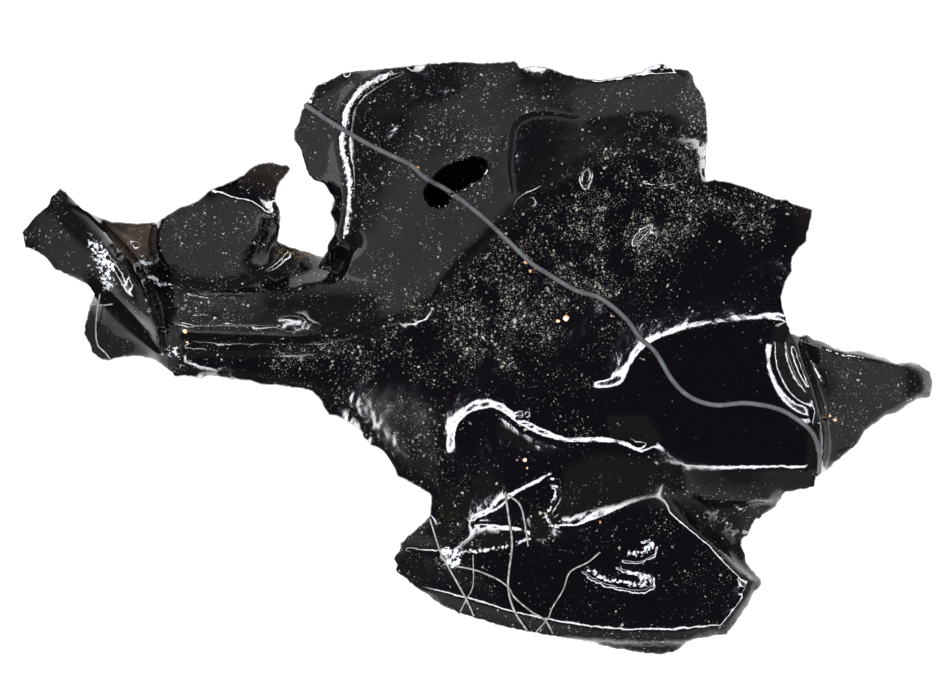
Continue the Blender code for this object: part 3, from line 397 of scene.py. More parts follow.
ridge("plate_bend", 6, (386, 225, 3.54), (390, 195, 3.67), (386, 168, 3.78), (381, 142, 3.87),
      (388, 122, 3.9), (406, 110, 3.92), (430, 102, 3.88), (460, 100, 3.8))
step("plate_edge", 1, 1, 5, (428, 300, 2.54, 2.37), (442, 280, 2.58, 2.41),
     (460, 260, 2.62, 2.46), (480, 240, 2.66, 2.51), (500, 222, 2.69, 2.56),
     (512, 212, 2.71, 2.59), (528, 200, 2.72, 2.62))
print("crown:", newly_drawn())

# %% [markdown]
# ## Hollow on the crown
# A flake has come off the right half of the crown and left a shallow hollow with a steeper face
# behind it.  A carved dent would have a rim all round.  Lines of their own let it have a sharp
# step on two sides and stay open on the low side.

# %% Hollow on the crown
step("hollow_left", 1, 1, 5, (510, 192, 2.86, 2.74), (507, 172, 2.98, 2.84),
     (508, 150, 3.12, 2.94), (511, 130, 3.22, 3.02), (520, 117, 3.28, 3.07),
     (545, 111, 3.24, 3.07), (577, 116, 3.14, 3.01))
ridge("hollow_lip", 1, (514, 202, 2.69), (535, 190, 2.68), (560, 177, 2.69), (585, 162, 2.71),
      (602, 154, 2.73))
ridge("back_face_low", 1.5, (586, 118, 2.98), (610, 114, 2.99), (640, 110, 2.98),
      (660, 110, 2.97), (672, 116, 2.93))
ridge("back_face_top", 1, (592, 84, 3.36), (620, 82, 3.38), (650, 77, 3.44), (672, 74, 3.45),
      (686, 76, 3.36))
ridge("corner", 1.5, (686, 76, 3.4), (682, 94, 3.18), (676, 112, 2.96), (674, 132, 2.84))
ridge("dust_lip", 1, (614, 153, 2.735), (632, 151, 2.74), (655, 151, 2.74), (675, 157, 2.73),
      (692, 177, 2.71))
print("hollow:", newly_drawn())

# %% [markdown]
# ## Shelf
# Right of the crown the glass runs out in a low shelf.  It could be a flat polygon, but that
# would flash all at once in the light.  One gentle line inside the rim is enough, and the skin
# does the rest.

# %% Shelf
ridge("shelf_rim", 6, (645, 226, 2.68), (665, 213, 2.7), (690, 202, 2.72), (715, 197, 2.73),
      (740, 200, 2.73), (760, 206, 2.72), (785, 212, 2.69))
print("shelf:", newly_drawn())

# %% [markdown]
# ## Roll
# The roll is a broad swell right of the middle, as smooth as if it had been poured.  A cylinder
# would be too regular.  Two long crests with a bevel beside them bound it above and below, a
# cliff ends it on the right, and a dome written further down makes the face between them swell.

# %% Roll
ridge("roll_foot", 8, (545, 352, 2.68), (560, 322, 2.69), (585, 290, 2.71), (615, 262, 2.75),
      (650, 245, 2.78), (690, 240, 2.8), (725, 240, 2.8), (760, 245, 2.8), (784, 255, 2.8))
ridge("roll_flank", 8, (582, 354, 2.8), (600, 322, 2.81), (625, 302, 2.85), (652, 289, 2.88),
      (682, 282, 2.905), (712, 276, 2.905), (740, 273, 2.9), (782, 274, 2.875))
shoulder("roll_upper", 1.5, (9, -0.038), None, (594.5, 389, 2.85), (611.7, 387, 2.9),
         (623, 382.5, 2.935), (629, 372, 2.95), (636.5, 357, 2.975), (650, 345, 3.01),
         (667, 337.5, 3.04), (690, 331.5, 3.065), (713, 327, 3.07), (742, 323, 3.06),
         (770, 321.5, 3.03), (788, 322, 2.99))
shoulder("roll_lower", 1.5, None, (7, -0.031), (682, 464, 3), (700, 464, 3.03), (726, 463, 3.06),
         (750, 463, 3.06), (775, 463, 3.05), (800, 464, 3.02), (812, 465, 2.99))
ridge("roll_under", 1, (690, 484, 2.87), (720, 484, 2.94), (750, 484, 2.94), (786, 482, 2.9))
step("roll_hem", 1, 1, 4, (697, 497, 2.74, 2.6), (712, 501, 2.77, 2.56), (740, 502, 2.79, 2.52),
     (770, 499, 2.8, 2.5))
shoulder("roll_end", 1.5, None, (11, -0.048), (775, 343, 3.03), (773, 352, 3.05),
         (774, 366, 3.06), (782, 386, 3.06), (796, 401, 3.03), (812, 408, 2.98))
ridge("roll_crease", 2, (789, 345, 2.93), (795, 362, 2.94), (803, 380, 2.93), (811, 393, 2.9))
step("roll_cliff", 1.5, 2, 4.5, (821, 470, 2.84, 1.95), (822, 450, 2.92, 2.05),
     (822, 430, 2.94, 2.15), (819, 408, 2.95, 2.3), (812, 385, 2.93, 2.42), (803, 362, 2.93, 2.5),
     (796, 342, 2.92, 2.6))
ridge("roll_edge_low", 4, (813, 468, 2.96), (816, 450, 2.99), (815, 430, 3), (813, 414, 2.98))
print("roll:", newly_drawn())

# %% [markdown]
# ## Spike
# The spike is a flat, tapering tongue that sticks out at the right end.  A wedge joined on would
# show its seam at the cliff.  A crest near its upper edge and a low line near its lower edge
# tilt its face, and a short line closes the tip.

# %% Spike
ridge("spike_crest", 1.5, (798, 341.5, 2.78), (813, 344.5, 2.74), (830, 349, 2.67),
      (850, 354, 2.58), (870, 358.5, 2.48), (890, 362.5, 2.36), (908, 366, 2.22))
ridge("spike_low", 3, (824, 458, 1.95), (842, 444, 1.95), (855, 440, 1.9), (862, 432, 1.88),
      (880, 419, 1.85), (900, 408, 1.8), (915, 400, 1.78))
ridge("spike_tip", 2, (908, 366, 2.22), (917, 374, 2.08), (922, 384, 1.95), (920, 394, 1.85))
print("spike:", newly_drawn())

# %% [markdown]
# ## Middle lobe
# The lobe is a tongue of glass below the roll on the sheet, with a bevelled rim a hair higher
# than its bed.  The bed could be left to the skin, but the rim alone would pull it up level, so
# it has a line of its own, and two more lead its left side down to the waist.

# %% Middle lobe
shoulder("lobe_rim", 1.5, (10, -0.042), None, (455, 452, 2.53), (455, 440, 2.56),
         (458, 428, 2.58), (465, 418, 2.6), (474, 412, 2.62), (488, 408, 2.66), (500, 412, 2.7),
         (513, 422, 2.745), (527, 431, 2.785), (545, 439, 2.83), (563, 445, 2.86),
         (581, 445, 2.88), (600, 444.5, 2.9), (613, 445, 2.92), (626, 449, 2.93),
         (637, 456, 2.94), (651, 451, 2.96))
ridge("lobe_bed", 6, (482, 478, 2.575), (500, 472, 2.635), (530, 464, 2.735), (560, 460, 2.81),
      (590, 460, 2.86), (615, 460, 2.89))
ridge("lobe_left", 4, (438, 440, 2.5), (442, 457, 2.485), (447, 475, 2.475), (456, 494, 2.475),
      (462, 508, 2.49))
ridge("lobe_west", 4, (461, 462, 2.53), (466, 476, 2.53), (475, 490, 2.535))
print("middle lobe:", newly_drawn())

# %% [markdown]
# ## Bottom bowl
# The bowl is the broad face along the lower edge.  It swells a little between the crest behind
# it and the bevelled edge in front, and runs out on the left in two folds.  A keel, drawn as a
# step, hangs under the bevel.  The crest winds, so the heights are written along it point by
# point, which a sphere or a lathed form couldn't follow.

# %% Bottom bowl
shoulder("bowl_west_edge", 1, (5, -0.022), None, (403, 549.5, 2.47), (424.6, 552, 2.51),
         (442.5, 553.2, 2.55), (458.6, 551, 2.58), (478, 549, 2.63))
shoulder("bowl_west_tail", 1, None, (3.5, -0.015), (484, 548.4, 2.65), (505, 545.8, 2.69),
         (523, 541.6, 2.73), (532, 534.5, 2.74))
shoulder("fold_lower", 1, (4, -0.018), None, (467.5, 523.8, 2.53), (476.4, 526.4, 2.56),
         (494.3, 528, 2.62), (515.7, 530, 2.69), (532, 534.5, 2.74))
shoulder("fold_upper", 1, (4.5, -0.02), None, (467.5, 523.8, 2.53), (485.4, 515.7, 2.59),
         (494.3, 510.4, 2.62), (508.6, 499.6, 2.68), (526.4, 488.9, 2.73), (540.7, 481.8, 2.77),
         (555, 474, 2.81))
shoulder("bowl_crest", 1.2, (6, -0.026), None, (547, 487, 2.79), (556.8, 489, 2.81),
         (559, 496, 2.82), (552, 508.6, 2.8), (545, 520, 2.79), (555, 526.4, 2.83),
         (569.3, 527.3, 2.87), (585.4, 524.6, 2.92), (600, 520, 2.94), (615, 513, 2.96),
         (629, 506.6, 2.97), (645.7, 500.5, 2.97), (658, 499.7, 2.96), (666, 506, 2.94),
         (670.5, 516.5, 2.92), (682.5, 526.5, 2.9), (694.7, 536.4, 2.87), (710, 548.7, 2.83),
         (722.3, 562.5, 2.78), (736, 576.2, 2.74), (751.3, 587, 2.7))
ridge("bowl_crest_foot", 3, (567, 476, 2.82), (577, 490, 2.82), (570, 509, 2.83),
      (582, 511, 2.855), (600, 504, 2.885), (618, 497, 2.9), (640, 486, 2.92), (662, 484, 2.91),
      (682, 500, 2.72), (698, 518, 2.6), (718, 538, 2.46), (737, 560, 2.34), (753, 577, 2.3))
ridge("bowl_neck", 3, (440, 512, 2.38), (457, 519, 2.42), (438, 534, 2.42), (420, 538, 2.38))
shoulder("bowl_lower", 1.2, None, (4.5, -0.02), (412, 579, 2.46), (423, 586, 2.48),
         (442.5, 590, 2.52), (464, 596, 2.56), (487, 602, 2.61), (505, 607.5, 2.65),
         (531.8, 613.5, 2.68), (558.6, 619, 2.69), (590, 624, 2.7), (621, 627, 2.7),
         (650, 628, 2.69), (680, 627, 2.67), (707, 625, 2.65), (725, 624, 2.63))
ridge("bowl_right", 1, (750, 591, 2.67), (742, 603, 2.65), (733, 615, 2.63), (727, 622, 2.62))
ridge("bowl_bend", 3, (514, 551, 2.71), (513, 570, 2.69), (510, 590, 2.66))
step("bowl_keel", 1, 1, 3, (568, 637.3, 2.58, 2.42), (590, 638.5, 2.6, 2.36),
     (620, 641, 2.6, 2.3), (650, 642, 2.59, 2.28), (680, 640.5, 2.57, 2.32),
     (708, 637, 2.52, 2.4))
print("bottom bowl:", newly_drawn())

# %% [markdown]
# ## Hackly ground
# Between the lobe and the bowl, and down the flank on the right, the glass broke roughly.  Only
# the lie of the ground is drawn here, with four low lines.  The roughness is too small for lines
# and comes later, as fine relief.

# %% Hackly ground behind the bowl
ridge("hackle_a", 4, (600, 470, 2.88), (625, 464, 2.9), (650, 462, 2.93), (672, 467, 2.95))
ridge("hackle_b", 4, (592, 488, 2.865), (620, 479, 2.895), (650, 474, 2.92), (676, 479, 2.89))
ridge("flank_rib", 2, (700, 500, 2.56), (712, 525, 2.44), (728, 545, 2.32))
ridge("flank_ledge", 2, (735, 503, 2.52), (733, 515, 2.44), (726, 528, 2.37))
print("hackly ground:", newly_drawn())

# %% [markdown]
# ## Dusty valley
# A broad valley runs from the spine up to the shelf, between the plate and the roll, and holds
# most of the dust.  Wide roundings keep its bed soft.  Two domes then push the skin up in the
# roll and the bowl, which saves drawing lines across their faces.

# %% Dusty valley
ridge("valley_bed", 8, (190, 347, 2), (215, 351, 2.04), (260, 354, 2.09), (310, 352, 2.15),
      (350, 346, 2.2), (395, 332, 2.27), (440, 320, 2.36), (480, 300, 2.43), (520, 265, 2.51),
      (560, 230, 2.58), (600, 200, 2.64), (640, 170, 2.7))
ridge("valley_low", 8, (380, 350, 2.27), (425, 345, 2.36), (470, 340, 2.47), (510, 330, 2.55))
ridge("valley_edge", 6, (335, 354, 2.17), (375, 362, 2.27), (415, 370, 2.38))
ridge("roll_west", 4, (606, 412, 2.89), (640, 430, 2.98), (668, 446, 3.02))
dome("roll", 0.11, (612, 395), (632, 380), (645, 358), (690, 340), (782, 330), (775, 345),
     (782, 388), (808, 412), (808, 458), (682, 458), (640, 430))
dome("bowl", 0.08, (520, 549), (560, 532), (658, 506), (740, 587), (720, 618), (600, 618),
     (516, 600))
print("valley and domes:", newly_drawn())

# %% [markdown]
# ## The underside
# The underside is only seen from low down.  Broad scoops run from the small flat face that the
# fragment rests on up to the rim, parted by low arrises.  It could be a plain flat cut, but then
# the thin rims would be thick.

# %% Underside
under("blade", (60, 215, 2.3), (95, 262, 2.1), (135, 305, 1.6), (165, 342, 1.1))
under("stub", (100, 335, 0.85), (125, 340, 0.8))
under("web", (125, 238, 1.5), (148, 262, 1.3), (165, 290, 1.2))
under("disc", (185, 235, 1.9), (215, 228, 1.95), (250, 225, 1.95))
under("disc_root", (180, 292, 1.3), (215, 300, 1.25), (260, 290, 1.2), (310, 285, 1.25))
under("arete_west", (450, 345, 0), (400, 352, 0.3), (340, 356, 0.6), (270, 354, 0.82),
      (200, 350, 0.98), (165, 345, 1.1))
under("arete_crown", (475, 335, 0), (450, 290, 0.7), (430, 240, 1.45), (415, 190, 2.15),
      (400, 140, 2.75), (388, 100, 3.2))
under("arete_back", (600, 300, 0), (598, 250, 0.75), (590, 200, 1.3), (586, 150, 1.85),
      (590, 112, 2.35))
under("arete_shelf", (720, 345, 0), (735, 300, 0.75), (748, 262, 1.3), (765, 232, 1.75))
under("arete_spike", (735, 390, 0), (775, 398, 0.6), (815, 395, 1.1), (860, 390, 1.32),
      (905, 384, 1.32))
under("arete_heel", (670, 480, 0), (690, 520, 0.6), (710, 558, 1.05), (733, 590, 1.35))
under("arete_bowl", (570, 490, 0), (566, 535, 0.6), (562, 585, 1.15), (560, 618, 1.45))
under("arete_toe", (480, 450, 0), (462, 500, 0.6), (437, 545, 1.15), (415, 568, 1.35))
under("crown_left", (345, 110, 3), (350, 150, 2.95), (356, 200, 2.6), (352, 240, 2.1))
under("corner", (660, 110, 2.45), (672, 150, 2.2), (676, 190, 1.9))
under("strip", (370, 420, 1.05), (395, 450, 0.9), (415, 475, 0.95))
under("flank", (728, 530, 1.2), (738, 560, 1.3))
BASE_FACE = [(450, 345), (475, 335), (540, 306), (600, 300), (660, 308), (720, 345), (735, 390),
             (728, 440), (670, 480), (620, 478), (570, 490), (525, 472), (480, 450), (462, 400)]
print(len(TOP), "lines on top,", len(UNDER), "below:", newly_drawn())

# %% [markdown]
# ## Fields
# The heights are kept as a field, a table with one number for every cell of the sheet.  A mesh
# could be pulled about directly, but filling, drawing and blurring are far simpler on a field.

# %% Fields
def cells(h):
    """The x and y of a field's cells at spacing h."""
    return np.meshgrid(np.arange(int(SHEET[0] / h) + 2) * h, np.arange(int(SHEET[1] / h) + 2) * h)


def filled(polygon, h=GRID):
    """A field that is True inside the polygon."""
    x, y = cells(h)
    p = np.asarray([q[:2] for q in polygon], float)
    q = np.roll(p, -1, axis=0)
    out = np.zeros(x.shape, bool)
    xs = x[0]
    for i, row in enumerate(y[:, 0]):
        hit = (p[:, 1] > row) != (q[:, 1] > row)
        if hit.any():
            a, b = p[hit], q[hit]
            cross = np.sort((b[:, 0] - a[:, 0]) * (row - a[:, 1]) / (b[:, 1] - a[:, 1]) + a[:, 0])
            out[i] = np.searchsorted(cross, xs) % 2 == 1
    return out


def drawn(lines, h):
    """The mean height of the lines in each cell that they cross, and where they do."""
    x, _ = cells(h)
    total, count = np.zeros(x.shape), np.zeros(x.shape)
    for line in lines:
        for a, b in zip(line[:-1], line[1:]):
            n = max(1, int(math.hypot(b[0] - a[0], b[1] - a[1]) / (h * 0.5)))
            q = a[:3] + (b[:3] - a[:3]) * (np.arange(n + 1) / n)[:, None]
            col = np.clip(np.rint(q[:, 0] / h).astype(int), 0, x.shape[1] - 1)
            row = np.clip(np.rint(q[:, 1] / h).astype(int), 0, x.shape[0] - 1)
            np.add.at(total, (row, col), q[:, 2])
            np.add.at(count, (row, col), 1)
    return total / np.maximum(count, 1), count > 0


def finer(z, shape, ratio):
    """The field z read at a finer spacing."""
    y = np.clip(np.arange(shape[0]) * ratio, 0, z.shape[0] - 1.001)
    x = np.clip(np.arange(shape[1]) * ratio, 0, z.shape[1] - 1.001)
    i, j = y.astype(int), x.astype(int)
    v, u = (y - i)[:, None], (x - j)[None, :]
    return (z[i][:, j] * (1 - v) * (1 - u) + z[i][:, j + 1] * (1 - v) * u
            + z[i + 1][:, j] * v * (1 - u) + z[i + 1][:, j + 1] * v * u)


print("height field of %d x %d cells" % cells(GRID)[0].shape[::-1])

# %% [markdown]
# ## Skin solver
# The film over the lines is found by relaxation: every free cell takes the mean of its four
# neighbours, again and again.  Solving it all at once as one system of equations would need a
# library.  Starting on a coarse field and halving the spacing makes the simple way quick, and a
# little push in a region makes its skin bulge like a blister.

# %% Skin solver
LEVELS = ((32, 300), (16, 120), (8, 80), (4, 60), (2, 40), (1, 30))   # (spacing, rounds)
HASTE = 1.7                      # a round moves a cell this many times the way to the mean


def skin(lines, domes=(), flat=None, levels=LEVELS):
    """Heights of a skin drawn tight over the lines, from coarse to fine."""
    z, last = None, None
    for h, rounds in levels:
        x, _ = cells(h)
        held, fixed = drawn(lines, h)
        if flat:
            level = filled(flat, h)
            held, fixed = np.where(level, 0.0, held), fixed | level
        z = np.full(x.shape, held[fixed].mean()) if z is None else finer(z, x.shape, h / last)
        z = np.where(fixed, held, z)
        push = np.zeros(x.shape)
        for bulge, polygon in domes:
            push += np.where(filled(polygon, h), bulge * (h * UNIT_MM) ** 2 / 4, 0)
        even = (np.add.outer(np.arange(x.shape[0]), np.arange(x.shape[1])) % 2) == 0
        for _ in range(rounds):
            for half in (~fixed & even, ~fixed & ~even):
                p = np.pad(z, 1, mode="edge")
                mean = (p[:-2, 1:-1] + p[2:, 1:-1] + p[1:-1, :-2] + p[1:-1, 2:]) * 0.25 + push
                z = np.where(half, z + HASTE * (mean - z), z)
        last = h
    return z


def softened(z, sigma, across=None):
    """The field blurred by sigma units down the sheet and across it."""
    for axis, s in ((0, sigma), (1, sigma if across is None else across)):
        s = s / GRID
        r = int(3 * s + 1)
        k = np.exp(-0.5 * (np.arange(-r, r + 1) / s) ** 2)
        k /= k.sum()
        pad = ((r, r), (0, 0)) if axis == 0 else ((0, 0), (r, r))
        p = np.pad(z, pad, mode="edge")
        n = z.shape[axis]
        z = sum(k[i] * (p[i:i + n] if axis == 0 else p[:, i:i + n]) for i in range(2 * r + 1))
    return z


print("solved on cells of", [h for h, _ in LEVELS], "units")

# %% [markdown]
# ## Two skins
# The upper side is a skin over the rim and all the lines drawn on top.  The underside is a second
# one, over the rim's lower edge, its own lines and the flat face the chunk rests on.  It carries
# little detail, so it is solved half as fine and read between its cells.

# %% Two skins
closed = np.array(RIM + RIM[:1], float)
top_z = skin([closed[:, :3]] + [line for _, line in TOP], DOMES)
lower = np.column_stack([closed[:, :2], closed[:, 2] - closed[:, 3]])
rest = np.array([(x, y, 0.0) for x, y in BASE_FACE + BASE_FACE[:1]])
low_z = skin([lower, rest] + UNDER, flat=BASE_FACE, levels=LEVELS[:-1])
low_z = finer(low_z, top_z.shape, 0.5)
print("upper side %.2f to %.2f mm" % (top_z.min(), top_z.max()))

# %% [markdown]
# ## Rounding
# Some crests are razor-sharp and some are rolled like poured toffee.  The rounding written on
# each line is spread over the sheet the same way as the heights, and the field is blurred by
# that much.  A rolled crest then catches light as a wide soft line, a sharp one as a hair.

# %% Rounding
RIM_ROUNDING = 0.6               # units
LEAST_ROUNDING, MOST_ROUNDING = 0.9, 7.9
STEPS = (0.0, 1.0, 2.0, 4.0, 8.0)   # the blurs that are worked out; others are mixed from two
sharp = skin([np.column_stack([line[:, :2], np.full(len(line), r)])
              for r, line in [(RIM_ROUNDING, closed[:, :3])] + TOP], levels=LEVELS[:-2])
sharp = finer(sharp, top_z.shape, 0.25)
stack = [top_z] + [softened(top_z, s) for s in STEPS[1:]]
amount = np.clip(sharp, LEAST_ROUNDING, MOST_ROUNDING)
rounded = np.zeros_like(top_z)
for i in range(len(STEPS) - 1):
    inside_step = (amount >= STEPS[i]) & (amount < STEPS[i + 1])
    t = (amount - STEPS[i]) / (STEPS[i + 1] - STEPS[i])
    rounded = np.where(inside_step, stack[i] * (1 - t) + stack[i + 1] * t, rounded)
print("rounding from %.1f to %.1f units" % (sharp.min(), sharp.max()))

# %% [markdown]
# ## Fine relief
# Where the break ran fast the glass is hackly: a patchwork of tiny tilted facets.  Elsewhere
# there are faint ripples, streaks, and threads of glass.  A bump map could fake them, but real
# relief stays true from every side.  So each is a field of small heights, added to the skin.

# %% Fine relief helpers
x_grid, y_grid = cells(GRID)


def region(polygon, soft=3.0):
    """A field of 1 inside the polygon and 0 outside, with a soft border."""
    return softened(filled(polygon).astype(float), soft)


def grain(sigma, seed, across=None):
    """Smooth random relief of unit height."""
    field = softened(np.random.default_rng(seed).normal(0, 1, x_grid.shape), sigma, across)
    return field / field.std()


print("grain of unit height: spread %.2f" % grain(2.0, 1).std())

# %% [markdown]
# ## Facets and threads
# Hackly ground is a mosaic: every cell belongs to its nearest seed point and tilts with it.  A
# thread of glass is a bell-shaped ridge along a line.  Noise alone could roughen both, but it has
# neither the flat facets nor the long thin lines that make broken glass glitter.

# %% Facets and threads
FACET_SPREAD = 0.6               # most facets tilt by less than the tilt that is asked for


def shards(polygon, cell, tilt_deg, seed, soft):
    """Tiny facets about cell units across, each tilted its own way, in millimetres."""
    pick = np.random.default_rng(seed)
    p = np.array([q[:2] for q in polygon], float)
    low, high = p.min(0) - 4, p.max(0) + 4
    n = int((high[0] - low[0]) * (high[1] - low[1]) / cell ** 2) + 1
    seeds = low + pick.random((n, 2)) * (high - low)
    slope = np.tan(np.radians(tilt_deg)) * UNIT_MM * pick.normal(0, FACET_SPREAD, (n, 2))
    i0, i1 = max(int(low[1]), 0), min(int(high[1]) + 1, x_grid.shape[0])
    j0, j1 = max(int(low[0]), 0), min(int(high[0]) + 1, x_grid.shape[1])
    gx, gy = x_grid[i0:i1, j0:j1], y_grid[i0:i1, j0:j1]
    best, out = np.full(gx.shape, 1e9), np.zeros(gx.shape)
    for (sx, sy), (ax, ay) in zip(seeds, slope):
        d = (gx - sx) ** 2 + (gy - sy) ** 2
        hit = d < best
        best = np.where(hit, d, best)
        out = np.where(hit, (gx - sx) * ax + (gy - sy) * ay, out)
    field = np.zeros_like(top_z)
    field[i0:i1, j0:j1] = out
    return softened(field, 0.5) * region(polygon, soft)


WAVES = []                       # the threads' lines, for the mesh to follow
BELL_SLOPE = 0.6065              # steepest slope of a bell curve of height and width 1


def ripple(width, steep_deg, rag, seed, points):
    """A thin raised thread of glass: width in units, the tilt of its flanks, and a ragged edge."""
    line = spaced(curve([(x, y, 0) for x, y in points], 6), 1.0)[:, :2]
    WAVES.append((width, line))
    reach = int(width * 3 + 3)
    i0, i1 = max(int(line[:, 1].min()) - reach, 0), int(line[:, 1].max()) + reach + 1
    j0, j1 = max(int(line[:, 0].min()) - reach, 0), int(line[:, 0].max()) + reach + 1
    gx, gy = x_grid[i0:i1, j0:j1], y_grid[i0:i1, j0:j1]
    away = np.full(gx.shape, 1e9)
    for x, y in line:
        away = np.minimum(away, np.hypot(gx - x, gy - y))
    sigma = width / 2
    if rag:
        uneven = softened(np.random.default_rng(seed).normal(0, 1, gx.shape), 1.3)
        away = away + uneven / uneven.std() * rag
    height = math.tan(math.radians(steep_deg)) * sigma * UNIT_MM / BELL_SLOPE
    field = np.zeros_like(top_z)
    field[i0:i1, j0:j1] = height * np.exp(-0.5 * (away / sigma) ** 2)
    return field


print("a thread's steepest slope lies at half its width: %.4f" % BELL_SLOPE)

# %% [markdown]
# ## Where the fine relief lies
# Rough ground lies between the lobe and the bowl, down the flank, on the blade's front and along
# the keel; streaks run along the spine and the rib; grit fills the valley.  A few bright threads
# and rings are lips where one crack overran another.  They could be modelled one by one, but
# tables of places and sizes, read by a loop, are easier to change.

# %% Fine relief
# heights in millimetres: faint ripples everywhere, streaks on the spine and on the rib, grit
FINE_MM, BROAD_MM, SPINE_MM, RIB_MM, GRIT_MM = 0.0006, 0.0015, 0.0038, 0.0012, 0.0012
relief = grain(2.0, 21) * FINE_MM + grain(9.0, 22) * BROAD_MM
# patches of facets: where, facet size in units, tilt in degrees, seed, softness of the edge
for patch in (
        # between the lobe and the bowl
        ([(560, 478), (600, 455), (690, 468), (700, 490), (670, 495), (640, 488), (590, 510),
          (565, 505)], 7.0, 7, 51, 2.0),
        # down the flank behind the bowl
        ([(690, 490), (770, 505), (745, 535), (745, 565), (750, 582), (700, 530),
          (680, 500)], 7.0, 13, 52, 2.0),
        # front of the left blade
        ([(86, 240), (104, 242), (118, 270), (124, 298), (108, 298), (98, 272)], 3.2, 18, 53, 1.2),
        # chip on the web's side of the blade
        ([(138, 254), (156, 256), (152, 270), (138, 268)], 3.5, 30, 54, 1.2),
        # bruise on the bowl's left end
        ([(436, 548), (464, 553), (460, 572), (440, 566)], 3.5, 30, 55, 1.5),
        # the ragged keel
        ([(560, 641), (640, 646), (706, 640), (690, 652), (640, 656), (580, 645)], 6.0, 12, 56, 1.5)):
    relief += shards(*patch)
# streaks drawn out along the spine and the rib
relief += region([(165, 270), (255, 280), (258, 338), (170, 345)], 5.0) \
    * grain(0.9, 61, 7.0) * SPINE_MM
relief += region([(300, 378), (350, 380), (420, 470), (430, 515), (400, 480), (330, 410)], 5.0) \
    * (grain(3.0, 62, 1.0) + grain(1.4, 63)) * RIB_MM
# grit in the valley
relief += region([(170, 340), (420, 300), (600, 165), (690, 160), (790, 215), (770, 240),
                  (640, 270), (520, 330), (400, 345), (200, 358)], 8.0) * grain(1.2, 64) * GRIT_MM
# threads and rings of glass, some hundredths of a millimetre across, that catch the light:
# width in units, tilt of the flanks in degrees, raggedness, its seed, and the line
for thread in (
        (2.6, 16.5, 0.5, 81, [(624, 559), (634, 561), (643, 560), (651, 555), (655, 548), (651, 541),
          (642, 540)]),
        (2.8, 16.5, 0.5, 82, [(584, 571), (598, 580), (614, 585), (630, 589), (642, 589), (651, 585),
          (651, 576), (640, 572), (628, 570), (617, 567)]),
        (2.2, 20, 0.0, 0, [(586, 166), (591, 172), (590, 181), (585, 187), (581, 181), (582, 172),
          (586, 166)]),
        (2.2, 20, 0.0, 0, [(651, 228), (648, 236), (640, 243), (635, 246), (637, 238), (644, 231),
          (651, 228)]),
        (1.8, 18, 0.0, 0, [(643, 182), (655, 184), (668, 184), (680, 181)]),
        (1.6, 18, 0.0, 0, [(517, 415), (521, 412), (524, 415), (527, 418), (531, 416), (528, 413),
          (524, 416), (520, 418), (517, 415)]),
        (1.9, 18, 0.1, 83, [(183, 328), (200, 326), (220, 325), (243, 326), (262, 326), (276, 327),
          (286, 331), (299, 331), (307, 326), (304, 319), (293, 316), (282, 317), (277, 322),
          (281, 328)]),
        (2.2, 20, 0.4, 84, [(170, 327), (178, 322), (186, 317), (198, 314)]),
        (1.8, 18, 0.0, 0, [(177, 286), (190, 293), (210, 298), (235, 301)]),
        (1.8, 18, 0.0, 0, [(800, 342), (825, 347), (850, 353), (875, 359), (897, 364)]),
        (1.8, 18, 0.0, 0, [(826, 458), (842, 452), (858, 444)]),
        (2.0, 20, 0.5, 85, [(738, 579), (745, 585), (752, 590)]),
        (2.0, 20, 0.5, 86, [(742, 592), (746, 585), (750, 577)]),
        (1.8, 18, 0.0, 0, [(786, 343), (789, 358), (796, 376), (806, 392)])):
    relief += ripple(*thread)
surface = rounded + relief
print("fine relief %.3f to %.3f mm" % (relief.min(), relief.max()))

# %% [markdown]
# ## Gas bubble
# An open gas bubble about a millimetre long pits the plate.  A boolean could cut it, but would
# leave torn, thin triangles round its lip.  As a dent in the field of heights it is meshed like
# everything else.  Its mouth is an ellipse joined to a smaller round lobe.

# %% Gas bubble
PORE_CENTRE, PORE_TURN = (458.5, 176.0), math.radians(-25.0)
PORE_LONG_MM, PORE_SHORT_MM, PORE_DEPTH_MM = 0.53, 0.225, 0.50   # half length, half width
LOBE_OFFSET, LOBE_RADIUS_MM = (-21.0, 18.5), 0.215
PORE_LIP = 0.16                  # the wall's width as a share of the mouth


def pore(x, y):
    """How far a sheet point is from the bubble's centre: 1 on its lip."""
    dx, dy = x - PORE_CENTRE[0], y - PORE_CENTRE[1]
    along = (dx * math.cos(PORE_TURN) + dy * math.sin(PORE_TURN)) * UNIT_MM / PORE_LONG_MM
    across = (dy * math.cos(PORE_TURN) - dx * math.sin(PORE_TURN)) * UNIT_MM / PORE_SHORT_MM
    lobe = np.hypot(dx - LOBE_OFFSET[0], dy - LOBE_OFFSET[1]) * UNIT_MM / LOBE_RADIUS_MM
    return np.minimum(np.hypot(along, across), lobe)


hole = np.clip((1.0 - pore(x_grid, y_grid)) / PORE_LIP, 0, 1)
hole = hole * hole * (3 - 2 * hole)
surface = surface - softened(PORE_DEPTH_MM * hole, 0.6)
print("bubble %.2f x %.2f mm" % (2 * PORE_LONG_MM, 2 * PORE_SHORT_MM))

# %% [markdown]
# ## The glass itself
# The mesh follows the fields: a ring of points round the rim, a loose even scatter inside, and
# Delaunay triangles between them, which stay well shaped beside a ragged outline.  Rows of
# faces down the rim join the two sides into one closed body.

# %% Rim points
def read(z, x, y):
    """The value of the field z at a sheet point."""
    u = np.clip(np.asarray(x, float) / GRID, 0, z.shape[1] - 1.001)
    v = np.clip(np.asarray(y, float) / GRID, 0, z.shape[0] - 1.001)
    j, i = u.astype(int), v.astype(int)
    u, v = u - j, v - i
    return (z[i, j] * (1 - v) * (1 - u) + z[i, j + 1] * (1 - v) * u
            + z[i + 1, j] * v * (1 - u) + z[i + 1, j + 1] * v * u)


